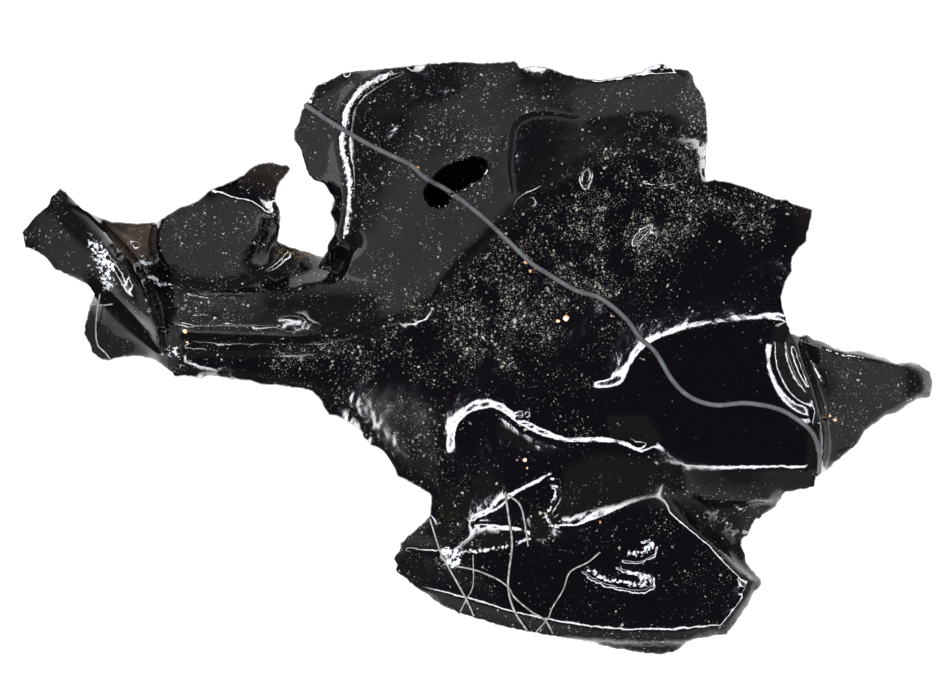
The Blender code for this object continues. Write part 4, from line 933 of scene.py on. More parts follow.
INSET = 1.3                      # how far the rim's corners are worn back, in units
CHIP_DEPTH = 0.9                 # how deep the rim is chipped, in units
border = spaced(closed, RIM_GAP)[:-1]
out_way = -sideways(np.vstack([border[-1:], border, border[:1]]))[1:-1]
chip = np.convolve(rng.normal(0, 1, len(border) + 4), np.ones(3) / 3, "same")[2:-2]
border[:, :2] -= out_way * np.abs(chip)[:, None] * CHIP_DEPTH
ring = border[:, :2] - out_way * INSET
print(len(border), "points round the rim")

# %% [markdown]
# ## Triangles between the points
# An even grid would cut the ragged outline into stairs.  Instead, points in staggered rows, each
# shaken a little, are joined by Delaunay triangles inside the rim.  They lie closer along the
# threads of glass, which are hardly wider than the gap between points.

# %% Sheet of triangles
ROW = 0.866                      # staggered rows lie this share of the gap apart
THREAD_CLEAR, RIM_CLEAR = 1.3, 0.6   # units kept free by a thread; share of the gap, by the rim
ACROSS_THREAD = (-1.8, -1.1, -0.5, 0.0, 0.5, 1.1, 1.8)   # rows over a thread, in half widths


def search_tree(points):
    """A tree that finds the nearest of some flat points."""
    tree = KDTree(len(points))
    for k, q in enumerate(points):
        tree.insert((q[0], q[1], 0), k)
    tree.balance()
    return tree


def marked(mask, p):
    """Whether each point lies on a marked cell of the mask."""
    return mask[np.clip(np.rint(p[:, 1]).astype(int), 0, mask.shape[0] - 1),
                np.clip(np.rint(p[:, 0]).astype(int), 0, mask.shape[1] - 1)]


def sheet(ring, gap, seed, waves=()):
    """Triangles inside the ring, closer along the waves, and the index of each ring point."""
    pick = np.random.default_rng(seed)
    rows, columns = int(SHEET[1] / (gap * ROW)) + 1, int(SHEET[0] / gap) + 1
    j, i = np.meshgrid(np.arange(columns), np.arange(rows))
    p = np.column_stack([((j + 0.5 * (i % 2)) * gap).ravel(), (i * gap * ROW).ravel()])
    p += pick.uniform(-0.2, 0.2, p.shape) * gap
    mask = filled(ring)
    p = p[marked(mask, p)]
    close = []
    for width, line in waves:
        rows_across = sideways(line)
        step_on = max(1, int(width * 0.45))
        for off in ACROSS_THREAD:
            close.append((line + rows_across * off * width / 2)[::step_on])
    if close:
        close = np.vstack(close)
        threads = search_tree(close)
        p = p[[threads.find((q[0], q[1], 0))[2] > THREAD_CLEAR for q in p]]
        p = np.vstack([p, close[marked(mask, close)]])
    rim_tree = search_tree(ring)
    p = p[[rim_tree.find((q[0], q[1], 0))[2] > gap * RIM_CLEAR for q in p]]
    n = len(ring)
    points = [tuple(q) for q in ring] + [tuple(q) for q in p]
    v, _, f, origin, _, _ = delaunay_2d_cdt(points, [(k, (k + 1) % n) for k in range(n)],
                                            [list(range(n))], 1, 0.02)
    v = np.array([tuple(q) for q in v])
    at = np.full(n, -1)
    for k, ids in enumerate(origin):
        for s in ids:
            if s < n:
                at[s] = k
    f = np.array([t for t in f if len(t) == 3])
    a, b, c = v[f[:, 0]], v[f[:, 1]], v[f[:, 2]]
    turn = (b[:, 0] - a[:, 0]) * (c[:, 1] - a[:, 1]) - (b[:, 1] - a[:, 1]) * (c[:, 0] - a[:, 0])
    f = np.where((turn > 0)[:, None], f[:, ::-1], f)   # the sheet's y runs down
    return v, f, at


top_v, top_f, top_at = sheet(ring, TOP_GAP, 31, WAVES)
low_v, low_f, low_at = sheet(ring, UNDER_GAP, 32)
print(len(top_f), "faces above,", len(low_f), "below")

# %% [markdown]
# ## Heights of both sides
# Each sheet takes its heights from its own field.  A Solidify modifier would make an underside
# like the top, but this one has scoops of its own.  It is kept a tenth of a millimetre below
# the top, less right at the rim, and gets faint waves that die out towards the resting face.

# %% Heights of both sides
LEAST_RIM_MM = 0.03              # least thickness right at the rim
WAVE_MM, SWELL_MM = 0.012, 0.03  # height of the underside's faint waves, short and long
top_h = read(surface, top_v[:, 0], top_v[:, 1])
least = surface.copy()
for _ in range(6):               # the least height within six cells
    q = np.pad(least, 1, mode="edge")
    least = np.minimum.reduce([q[1:-1, 1:-1], q[:-2, 1:-1], q[2:, 1:-1], q[1:-1, :-2], q[1:-1, 2:]])
low_field = np.minimum(softened(low_z, 2.0), least - LEAST_WALL_MM)
waves = grain(6.0, 41) * WAVE_MM + grain(20.0, 42) * SWELL_MM
low_field = low_field + waves * np.clip(low_z * 2, 0, 1)
low_field = np.where(filled(BASE_FACE), 0.0, np.maximum(low_field, 0.0))
low_h = read(low_field, low_v[:, 0], low_v[:, 1])
top_h[top_at] = read(surface, ring[:, 0], ring[:, 1])
low_h[low_at] = np.minimum(border[:, 2] - border[:, 3] + 0.01, border[:, 2] - LEAST_RIM_MM)
print("underside %.2f to %.2f mm" % (low_h.min(), low_h.max()))

# %% [markdown]
# ## Closing the body
# The chunk is solid, so its upper side, its underside and its broken rim have to meet without a
# gap.  Both sheets start from one ring of points, and rows of faces that bulge a little, at
# random, run from one ring to the other.  A bridge tool could join them, but not with this
# ragged bulge.  Counting open edges shows whether the body is closed.

# %% Close the body
SHARP_DEG = 50                   # edges that turn by more stay sharp in the shading
verts = [np.column_stack([top_v, top_h]), np.column_stack([low_v, low_h])]
base = len(top_v) + len(low_v)
n = len(border)
rows = [top_at]
waver = np.random.default_rng(33)
for r in range(1, RIM_ROWS):
    t = r / RIM_ROWS
    bulge = 1 - (2 * t - 1) ** 2
    push = INSET * bulge + np.convolve(waver.normal(0, 0.5, n + 4), np.ones(3) / 3, "same")[2:-2]
    xy = ring + out_way * np.clip(push, 0, INSET)[:, None]
    z = top_h[top_at] * (1 - t) + low_h[low_at] * t
    verts.append(np.column_stack([xy, z]))
    rows.append(base + (r - 1) * n + np.arange(n))
rows.append(len(top_v) + low_at)
faces = [tuple(t) for t in top_f] + [tuple(t[::-1] + len(top_v)) for t in low_f]
for upper_row, lower_row in zip(rows[:-1], rows[1:]):
    nxt_u, nxt_l = np.roll(upper_row, -1), np.roll(lower_row, -1)
    faces += [tuple(q) for q in np.column_stack([upper_row, lower_row, nxt_l, nxt_u])]
points = np.vstack(verts)
world = np.column_stack(place(*points.T))
glass_mesh = bpy.data.meshes.new("obsidian_glass")
glass_mesh.from_pydata(world.tolist(), [], faces)
glass_mesh.update()
check = bmesh.new()
check.from_mesh(glass_mesh)
bmesh.ops.recalc_face_normals(check, faces=check.faces)
open_edges = sum(1 for e in check.edges if len(e.link_faces) != 2)
volume = check.calc_volume(signed=True)
check.to_mesh(glass_mesh)
check.free()
glass_mesh.shade_smooth()
glass_mesh.set_sharp_from_angle(angle=math.radians(SHARP_DEG))
glass = put("obsidian_glass", glass_mesh)
print(len(glass_mesh.polygons), "faces, open edges", open_edges, "volume mm3 %.1f" % (volume * 1e9))

# %% [markdown]
# ## What the surface knows
# Seven numbers are stored on every point, for the finishes to read: how thick the glass is
# under it, how dusty it is, how frosted the fracture left it, where it is matt and painted dark as
# shade, where ochre is painted (clay on the rib, the brown of light through the thin notch),
# where pale crumbs and painted highlights lie, and where the open bubble is, whose inside is
# painted dark as shade.  Image textures could carry them, but attributes need no unwrapping.
# Most are tables of soft-edged patches.

# %% Dust and frost
def highest(field, patches):
    """Raises the field to the weight of each (weight, softness, polygon), where it is lower."""
    for weight, soft, polygon in patches:
        field = np.maximum(field, weight * region(polygon, soft))
    return field


def summed(patches):
    """The sum of the soft-edged patches, up to 1."""
    return np.clip(sum(weight * region(polygon, soft) for weight, soft, polygon in patches), 0, 1)


DUST_EVERYWHERE, LEAST_DUST, MOST_DUST = 0.30, 0.03, 1.25
EVEN, DRIFTS, CLUMPS = 0.82, 0.40, 0.34   # how the dust lies: evenly, in drifts, in small clumps
# dust lies thick in the valley and thins out over the plates; each row is a patch of dust
dust = highest(np.full_like(top_z, DUST_EVERYWHERE), (
    (0.95, 14.0, [(230, 350), (420, 300), (600, 150), (700, 130), (705, 180), (800, 205), (795, 250),
      (700, 235), (610, 300), (500, 375), (400, 390), (300, 370)]),
    (0.50, 12.0, [(165, 265), (430, 262), (520, 200), (560, 160), (600, 130), (600, 180), (430, 300),
      (300, 345), (170, 345)]),
    (0.50, 10.0, [(350, 75), (520, 70), (560, 120), (500, 200), (430, 270), (350, 270)]),
    (0.45, 8.0, [(160, 200), (250, 165), (285, 180), (280, 260), (170, 275)]),
    (0.36, 10.0, [(400, 550), (660, 505), (755, 590), (720, 630), (450, 600)]),
    (0.48, 10.0, [(320, 380), (430, 390), (450, 520), (420, 480)]),
    (0.95, 6.0, [(420, 300), (470, 255), (520, 205), (532, 214), (482, 270), (440, 312)]),
    (0.90, 8.0, [(610, 125), (700, 95), (706, 180), (640, 155)]),
    (1.20, 4.0, [(676, 92), (708, 92), (708, 172), (678, 165)]),
    (0.42, 8.0, [(800, 340), (930, 370), (900, 410), (830, 465)]),
))
# cleaner places, and the share of dust that stays there: the roll, the slope above it, the
# spine's right end, the bowl, the lobe and the crown's hollow
for keep, soft, polygon in (
        (0.12, 6.0, [(610, 340), (790, 320), (820, 400), (815, 490), (690, 480), (600, 440), (590, 395)]),
        (0.35, 8.0, [(690, 250), (790, 240), (785, 310), (650, 335)]),
        (0.45, 10.0, [(345, 325), (440, 308), (446, 368), (355, 372)]),
        (0.50, 10.0, [(470, 545), (640, 520), (740, 590), (700, 625), (520, 620)]),
        (0.35, 6.0, [(458, 430), (480, 412), (630, 450), (560, 480), (480, 505)]),
        (0.30, 5.0, [(512, 120), (575, 118), (585, 150), (540, 185), (512, 195)])):
    dust = dust * (1 - (1 - keep) * region(polygon, soft))
dust = dust * (1 - softened(hole, 2.0))
dust = np.clip(dust * (EVEN + DRIFTS * grain(8.0, 91) + CLUMPS * grain(3.0, 92)),
               LEAST_DUST, MOST_DUST)
# frosted by the fracture: the flank, the spine, the rib, the bowl's left end, the crown's left
# face, the roll's end and the blade's front
frost = summed((
    (0.9, 5.0, [(565, 470), (700, 460), (770, 505), (750, 580), (690, 510), (600, 505)]),
    (0.5, 6.0, [(165, 270), (420, 285), (400, 340), (170, 345)]),
    (0.7, 8.0, [(335, 395), (415, 385), (440, 440), (432, 500), (400, 470)]),
    (0.5, 6.0, [(400, 555), (470, 553), (500, 600), (430, 588)]),
    (0.35, 2.0, [(395, 66), (410, 74), (370, 92), (356, 110), (352, 150), (366, 190), (352, 240),
      (338, 238), (344, 190), (334, 150), (340, 105), (360, 80)]),
    (0.40, 3.0, [(766, 336), (806, 338), (822, 380), (822, 430), (800, 436), (775, 400)]),
    (0.50, 3.0, [(84, 240), (112, 240), (128, 280), (134, 300), (100, 296), (90, 262)]),
))
print("dust %.2f on average, frost %.2f" % (dust.mean(), frost.mean()))

# %% [markdown]
# ## Matt film and painted shade
# Where the finest dust is packed into a crease, the glass no longer mirrors the light.  Roughness
# alone would turn such a place grey, so the film takes the shine away instead and darkens the
# colour, which paints shade.  It follows nine creases where the modelled relief would also show
# thin lines of the ring's light, so there it is dust and painted shade both.  The 35 patches
# after them go further than a real film: they are painted shade on ground whose modelled relief
# would otherwise catch the ring's light where the glass should look dark.

# %% Matt film and painted shade
matt_and_painted_shade = np.zeros_like(top_z)
for width, line in (
        (4.0, [(172, 280), (200, 286), (235, 284), (262, 274), (280, 258), (290, 250)]),
        (4.0, [(178, 336), (230, 338), (290, 340), (335, 337), (370, 327), (405, 316), (430, 300)]),
        (2.6, [(180, 352), (230, 354), (290, 352), (340, 350)]),
        (2.4, [(178, 362), (200, 372), (260, 378), (300, 384), (335, 398), (365, 425), (400, 470)]),
        (5.5, [(434, 312), (455, 272), (480, 246), (505, 222), (520, 208), (533, 199)]),
        (4.5, [(540, 190), (565, 175), (590, 160), (615, 153), (650, 150), (680, 152), (697, 172)]),
        (3.0, [(362, 108), (358, 125), (360, 150), (361, 175), (361, 200), (356, 228), (348, 244)]),
        (6.0, [(412, 552), (416, 562), (420, 575), (424, 586)]),
        (5.0, [(440, 500), (452, 515), (445, 530), (428, 530)])):
    _, crossed = drawn([curve([(x, y, 1.0) for x, y in line])], GRID)
    band = softened(crossed.astype(float), width)
    matt_and_painted_shade = np.maximum(matt_and_painted_shade, np.clip(band / band.max() * 1.6, 0, 1))
matt_and_painted_shade = highest(matt_and_painted_shade, (
    (0.95, 2.0, [(58, 205), (70, 205), (100, 245), (92, 252), (72, 235), (58, 222)]),
    (0.85, 2.0, [(60, 186), (70, 190), (110, 222), (106, 234), (84, 215), (62, 202)]),
    (1.0, 2.5, [(62, 182), (76, 192), (112, 222), (128, 226), (124, 236), (104, 236), (84, 217),
      (60, 204)]),
    (0.95, 3.0, [(84, 270), (100, 276), (125, 300), (150, 330), (164, 350), (164, 364), (140, 345),
      (110, 318), (84, 292)]),
    (0.80, 2.5, [(905, 362), (929, 366), (928, 397), (905, 399)]),
    (0.60, 4.0, [(694, 498), (748, 506), (738, 552), (704, 532)]),
    (1.0, 1.2, [(556, 507), (574, 507), (572, 516), (558, 519)]),
    (0.90, 1.0, [(406, 72), (376, 84), (361, 102), (356, 130), (359, 150), (361, 176), (352, 238),
      (348, 236), (355, 176), (354, 152), (351, 130), (356, 104), (372, 90), (402, 76)]),
    (0.45, 3.0, [(390, 585), (470, 612), (560, 630), (700, 636), (740, 622), (700, 648), (560, 648),
      (470, 632), (400, 602)]),
    (0.50, 4.0, [(85, 285), (110, 290), (150, 340), (160, 365), (150, 370), (110, 360), (85, 345)]),
    (0.90, 2.0, [(172, 272), (205, 279), (235, 276), (262, 266), (282, 248), (294, 252), (290, 268),
      (262, 283), (235, 291), (200, 290), (172, 285)]),
    (1.0, 5.0, [(298, 294), (378, 294), (382, 340), (320, 340), (314, 318), (300, 316)]),
    (0.90, 5.0, [(262, 294), (310, 296), (308, 313), (264, 312)]),
    (0.55, 5.0, [(372, 84), (410, 66), (440, 62), (420, 78), (392, 100), (380, 140), (384, 180),
      (376, 225), (352, 250), (356, 200), (364, 150), (362, 110)]),
    (0.40, 5.0, [(418, 126), (445, 116), (468, 128), (462, 152), (430, 158)]),
    (0.95, 2.0, [(396, 58), (420, 58), (420, 74), (396, 76)]),
    (0.95, 2.0, [(498, 60), (530, 62), (530, 76), (498, 74)]),
    (0.90, 2.5, [(655, 136), (708, 138), (708, 186), (694, 184), (690, 152), (655, 150)]),
    (0.90, 2.0, [(654, 222), (678, 222), (678, 240), (656, 240)]),
    (1.0, 1.2, [(606, 416), (646, 416), (664, 440), (654, 446), (640, 441), (610, 437)]),
    (1.0, 3.0, [(566, 468), (600, 452), (655, 462), (665, 482), (640, 492), (600, 506), (558, 513),
      (560, 490)]),
    (1.0, 2.0, [(656, 460), (682, 464), (686, 492), (670, 492), (658, 482)]),
    (1.0, 2.0, [(480, 531), (516, 533), (512, 546), (470, 556), (458, 548)]),
    (1.0, 2.0, [(528, 512), (552, 508), (556, 522), (550, 541), (530, 541)]),
    (1.0, 2.0, [(438, 488), (474, 490), (470, 519), (450, 526), (438, 516)]),
    (0.80, 3.0, [(674, 498), (700, 503), (745, 543), (776, 578), (772, 612), (757, 596), (753, 578),
      (715, 540), (690, 514)]),
    (0.80, 3.0, [(396, 552), (424, 554), (430, 592), (410, 592), (396, 570)]),
    (0.55, 3.0, [(560, 634), (700, 636), (752, 606), (764, 604), (745, 632), (690, 656), (600, 656),
      (560, 644)]),
    (1.0, 1.5, [(560, 506), (600, 500), (640, 488), (655, 489), (650, 494), (620, 503), (598, 509),
      (566, 517)]),
    (1.0, 2.0, [(476, 478), (496, 476), (500, 491), (484, 501), (474, 500)]),
    (1.0, 2.0, [(500, 424), (516, 432), (534, 446), (524, 450), (500, 436)]),
    (1.0, 1.5, [(48, 194), (65, 194), (65, 214), (48, 214)]),
    (1.0, 1.5, [(772, 327), (784, 323), (792, 327), (784, 344), (772, 344)]),
    (0.45, 3.0, [(690, 471), (812, 471), (812, 486), (760, 495), (700, 490)]),
    (1.0, 1.5, [(806, 424), (819, 424), (819, 470), (806, 470)]),
))
print("matt over %.0f %% of the sheet" % (100 * (matt_and_painted_shade > 0.5).mean()))

# %% [markdown]
# ## Clay, crushed glass and painted light
# Ochre clay sticks on the rib.  In the notch the same ochre is painted light, the brown of light
# through thin glass, and a faint band of it lies on the shelf.  The glass is bruised to white
# crumbs on its most exposed edges, and the same pale white is painted along bright lines as
# painted highlights: the crown's left edge, two bars in the bowl, a loop and a line at the bowl's
# upper edge, and loops at the foot of the web.  Both could be loose grains, but they lie so close
# that a stain with a ragged edge reads the same.  Each is a short table of patches.

# %% Clay, crushed glass and painted light
# the notch behind the disc (painted light: the brown of light through thin glass), the front of
# the rib (clay), and a brownish band on the shelf
ochre_and_painted_backlight = summed((
    (0.9, 5.0, [(272, 244), (300, 243), (328, 240), (330, 256), (318, 262), (290, 260), (270, 254)]),
    (0.45, 4.0, [(425, 514), (456, 512), (460, 524), (430, 526)]),
    (0.25, 6.0, [(690, 194), (750, 196), (752, 212), (690, 208)]),
))
crumbs_and_painted_highlight = summed((
    # front of the left blade
    (0.8, 2.5, [(86, 240), (102, 240), (116, 262), (116, 288), (103, 294), (97, 268)]),
    # bruise on the bowl's left end
    (0.9, 2.5, [(440, 550), (463, 552), (458, 574), (444, 566)]),
    # chip on the crown's upper edge
    (0.8, 2.0, [(640, 63), (672, 62), (668, 73), (645, 73)]),
    # chip at the head of the flank
    (0.7, 2.0, [(732, 504), (749, 506), (746, 516), (733, 514)]),
    # painted highlights: loops at the foot of the web
    (0.9, 0.8, [(136, 259), (152, 261), (153, 266), (137, 265)]),
    (0.9, 0.8, [(145, 268), (152, 275), (162, 282), (172, 283), (172, 287), (159, 287), (149, 280),
      (142, 270)]),
    # stub end of the spine
    (0.7, 2.0, [(165, 346), (180, 344), (182, 358), (166, 358)]),
    # painted highlight along the left edge of the crown
    (0.75, 1.2, [(392, 68), (396, 74), (366, 92), (352, 108), (346, 140), (350, 165), (355, 190),
      (349, 236), (343, 236), (348, 190), (341, 160), (339, 140), (345, 108), (360, 86)]),
    # painted highlights: two bars in the bowl
    (0.8, 1.2, [(624, 555), (640, 557), (650, 553), (656, 543), (648, 538), (640, 541), (645, 545),
      (639, 551), (626, 550)]),
    (0.8, 1.2, [(582, 568), (600, 580), (630, 587), (645, 589), (653, 583), (650, 575), (640, 571),
      (624, 569), (622, 573), (640, 577), (638, 581), (620, 579), (600, 572), (584, 565)]),
    # painted highlights: loop and line at the bowl's upper edge
    (0.9, 0.8, [(548, 483), (555, 486), (558, 496), (552, 508), (548, 516), (551, 523), (560, 526),
      (559, 529), (549, 527), (544, 517), (548, 507), (554, 496), (551, 489)]),
    (0.9, 0.8, [(526, 529), (531, 533), (530, 541), (500, 550), (470, 554), (441, 553), (441, 550),
      (470, 550), (500, 546), (526, 538)]),
    # tip of the spike
    (0.35, 2.0, [(918, 364), (934, 366), (934, 398), (918, 396)]),
))
print("crushed over %.1f %% of the sheet" % (100 * (crumbs_and_painted_highlight > 0.5).mean()))

# %% [markdown]
# ## Fields to points
# The fields cover the whole sheet, and the mesh needs their values at its own points.  They are
# read there and stored as float attributes, which both the shader and the scatter of dust can
# ask for by name.

# %% Point attributes
def attribute(mesh, name, values):
    """Stores one number for each point of the mesh."""
    layer = mesh.attributes.new(name, "FLOAT", "POINT")
    layer.data.foreach_set("value", np.asarray(values, np.float32))


thick = read(softened(surface - low_field, 1.0), points[:, 0], points[:, 1])
attribute(glass_mesh, "thickness", np.clip(thick, 0.0, 6.0))
up = np.zeros(len(points) * 3, np.float32)
glass_mesh.vertices.foreach_get("normal", up)
facing_up = np.clip(up.reshape(-1, 3)[:, 2] * 1.6 - 0.4, 0, 1)   # dust slides off steep faces
attribute(glass_mesh, "dust", read(dust, points[:, 0], points[:, 1]) * facing_up)
for name, field in (("frost", frost), ("matt_and_painted_shade", matt_and_painted_shade), ("ochre_and_painted_backlight", ochre_and_painted_backlight), ("crumbs_and_painted_highlight", crumbs_and_painted_highlight),
                    ("hollow", softened(hole, 0.5))):
    attribute(glass_mesh, name, read(field, points[:, 0], points[:, 1]))
print("thickness %.2f to %.2f mm" % (thick.min(), thick.max()))

# %% [markdown]
# ## Colours and nodes
# Colours are written as sRGB hex values, as a colour picker gives them, and one function turns
# them linear.  The others add shader nodes with their settings and links, because a material
# written node by node would run to pages.

# %% Colour and node helpers
def hex_linear(code, alpha=1.0):
    """An sRGB hex value as linear red, green, blue and alpha."""
    parts = [int(code[k:k + 2], 16) / 255 for k in (1, 3, 5)]
    return tuple(c / 12.92 if c <= 0.04045 else ((c + 0.055) / 1.055) ** 2.4
                 for c in parts) + (alpha,)


def add(tree, kind, inputs=(), **settings):
    """Adds a node; inputs maps a socket's name or number to a value or another node's socket."""
    node = tree.nodes.new(kind)
    for key, value in settings.items():
        setattr(node, key, value)
    for key, value in dict(inputs).items():
        socket = node.inputs[key]
        if isinstance(value, bpy.types.NodeSocket):
            tree.links.new(value, socket)
        else:
            socket.default_value = value
    return node


def ramp(tree, factor, *stops):
    """A colour ramp through (position, hex colour) stops."""
    node = add(tree, "ShaderNodeValToRGB", {"Fac": factor})
    band = node.color_ramp
    while len(band.elements) < len(stops):
        band.elements.new(0.5)
    for element, (position, code) in zip(band.elements, stops):
        element.position, element.color = position, hex_linear(code)
    return node.outputs["Color"]


def spread(tree, value, low, high, to_low=0.0, to_high=1.0):
    """Maps a value from one range to another, clamped."""
    return add(tree, "ShaderNodeMapRange", {"Value": value, "From Min": low, "From Max": high,
                                            "To Min": to_low, "To Max": to_high}).outputs["Result"]


def sums(tree, operation, a, b):
    """One step of arithmetic."""
    return add(tree, "ShaderNodeMath", {0: a, 1: b}, operation=operation).outputs[0]


def noise(tree, per_metre, detail, roughness=0.5):
    """Cloudy noise fixed to the object, with so many cells in a metre."""
    at = add(tree, "ShaderNodeTexCoord").outputs["Object"]
    return add(tree, "ShaderNodeTexNoise", {"Vector": at, "Scale": per_metre, "Detail": detail,
                                            "Roughness": roughness}).outputs["Fac"]


def mixed(tree, factor, a, b):
    """Mixes two colours."""
    return add(tree, "ShaderNodeMix", {0: factor, 6: a, 7: b}, data_type="RGBA").outputs[2]


def material(name):
    """A new material and its empty node tree."""
    m = bpy.data.materials.new(name)
    m.use_nodes = True
    m.node_tree.nodes.clear()
    return m, m.node_tree


def finish(tree, **sockets):
    """Ends a material in one Principled shader with these sockets."""
    shader = add(tree, "ShaderNodeBsdfPrincipled",
                 {key.replace("_", " "): value for key, value in sockets.items()})
    add(tree, "ShaderNodeOutputMaterial", {"Surface": shader.outputs["BSDF"]})
    return shader


print("black glass", hex_linear("#0d0b0e"))

# %% [markdown]
# ## Volcanic glass
# Obsidian is a natural glass, chilled too fast to grow crystals, with an index of refraction
# near 1.49.  Its broken faces are as smooth as a window, so they mirror the lights.  A few
# hundredths of a millimetre let a smoky brown light through and half a millimetre is black, so
# the tint and the transmission both follow the thickness stored on the points.  A volume shader
# could do it, but is slow and can't be baked.

# %% Volcanic glass
obsidian, tree = material("volcanic_glass")
thickness, dusty, frosty, matt_and_painted_shade_mask, pore_painted_shade, ochre_and_backlight_mask, crumb_and_highlight_mask = (
    add(tree, "ShaderNodeAttribute", attribute_name=name).outputs["Fac"]
    for name in ("thickness", "dust", "frost", "matt_and_painted_shade", "hollow", "ochre_and_painted_backlight", "crumbs_and_painted_highlight"))
# the tint is seen only where the glass is thin enough to be clear
tint = ramp(tree, spread(tree, thickness, 0.0, 0.8), (0.0, "#d8d0c4"), (0.04, "#7d7165"),
            (0.12, "#453c34"), (0.28, "#221d1a"), (0.50, "#100e10"), (0.9, "#040305"))
clear = spread(tree, thickness, 0.26, 0.50, 1.0, 0.0)
tint = mixed(tree, clear, hex_linear("#040305"), tint)
# settled powder too fine to model: flecks of some tens of micrometres, in drifts
fleck = noise(tree, 16000.0, 2.0, 0.6)
patch = noise(tree, 2200.0, 3.0, 0.65)
cover = sums(tree, "MULTIPLY", spread(tree, patch, 0.35, 0.75), dusty)
over = sums(tree, "SUBTRACT", fleck, spread(tree, cover, 0.0, 1.0, 0.80, 0.56))
powder = spread(tree, over, 0.0, 0.05)
colour = mixed(tree, powder, tint, hex_linear("#5c5955"))
# painted shade: the matt film and the inside of the bubble are painted dark; the ochre (clay on
# the rib, painted brown light in the notch) and the pale crumbs with their painted highlights are
# pale
colour = mixed(tree, sums(tree, "MULTIPLY", matt_and_painted_shade_mask, 0.8), colour, hex_linear("#0f0e0d"))
colour = mixed(tree, pore_painted_shade, colour, hex_linear("#020202"))
ochre_and_backlight_paint = spread(tree, sums(tree, "ADD", fleck, sums(tree, "MULTIPLY", ochre_and_backlight_mask, 0.35)), 0.68, 0.88)
ochre_and_backlight_paint = sums(tree, "MULTIPLY", ochre_and_backlight_paint, ochre_and_backlight_mask)
colour = mixed(tree, ochre_and_backlight_paint, colour, hex_linear("#574c38"))
crumb_and_highlight_paint = spread(tree, sums(tree, "ADD", fleck, sums(tree, "MULTIPLY", crumb_and_highlight_mask, 0.30)), 0.70, 0.80)
crumb_and_highlight_paint = sums(tree, "MULTIPLY", crumb_and_highlight_paint, spread(tree, crumb_and_highlight_mask, 0.2, 0.6))
colour = mixed(tree, crumb_and_highlight_paint, colour, hex_linear("#b4b6ba"))
# clean glass is almost a mirror; powder and frost roughen it, and the film and the bubble's
# inside lose their shine as painted shade
gloss = sums(tree, "ADD", spread(tree, cover, 0.0, 0.8, 0.045, 0.10),
             sums(tree, "MULTIPLY", frosty, 0.14))
rough = sums(tree, "ADD", gloss, sums(tree, "MULTIPLY", powder, 0.5))
dull = sums(tree, "MAXIMUM", pore_painted_shade, matt_and_painted_shade_mask)
shine = spread(tree, dull, 0.0, 0.85, 0.5, 0.0)
solid = sums(tree, "MAXIMUM", powder, sums(tree, "MAXIMUM", ochre_and_backlight_paint, crumb_and_highlight_paint))
through = sums(tree, "MULTIPLY", clear, sums(tree, "SUBTRACT", 1.0, solid))
bump = add(tree, "ShaderNodeBump", {"Strength": 0.25, "Distance": 0.000004, "Height": fleck})
finish(tree, Base_Color=colour, Metallic=0.0, Roughness=rough, IOR=1.49, Specular_IOR_Level=shine,
       Transmission_Weight=through, Normal=bump.outputs["Normal"])
glass_mesh.materials.append(obsidian)
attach(glass, "root")
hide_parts("obsidian_chunk")
print("glass finished")

# %% [markdown]
# ## Dust
# Pale mineral dust, in grains of about 10 to 70 micrometres, lies on every upward face, thickest
# in the valley.  One flat grey would look like paint, so a fine mottle runs from brown-grey to
# pale grey, and the grains are rough and hardly shine.

# %% Dust finish
dust_stone, tree = material("pale_mineral_dust")
shade = ramp(tree, noise(tree, 9000.0, 2.0), (0.30, "#3e3b36"), (0.50, "#635f58"), (0.68, "#948f86"))
finish(tree, Base_Color=shade, Metallic=0.0, Roughness=0.75, IOR=1.5)
print("dust finish", dust_stone.name)

# %% [markdown]
# ## Running a tree of nodes
# A geometry node tree needs named inputs, and its result belongs to the object it runs on.  It
# could stay there as a live modifier, but the dust has to be a piece of its own, so the result
# is copied to a plain mesh and the modifier is taken off again.

# %% Node tree helpers
def interface(tree, *sockets):
    """Named inputs and outputs of a node group, and the inputs' identifiers."""
    found = {}
    for name, way, kind, value in sockets:
        item = tree.interface.new_socket(name=name, in_out=way, socket_type=kind)
        if value is not None:
            item.default_value = value
        if way == "INPUT":
            found[name] = item.identifier
    return found


def plain_mesh(name, host, tree, settings, ids):
    """Runs a node tree on the host and returns its result as a mesh object of its own."""
    modifier = host.modifiers.new("scatter", "NODES")
    modifier.node_group = tree
    for key, value in settings.items():
        modifier[ids[key]] = value
    bpy.context.view_layer.update()
    shape = bpy.data.meshes.new_from_object(host.evaluated_get(
        bpy.context.evaluated_depsgraph_get()))
    host.modifiers.remove(modifier)
    shape.name = name
    return put(name, shape)


print("node tree helpers ready")

# %% [markdown]
# ## How the grains are scattered
# A particle system could scatter the grains, but Geometry Nodes do it in one tree that every
# layer of dust shares: points spread by the dust attribute, a squashed little stone on each,
# turned at random, most of them small and a few large.

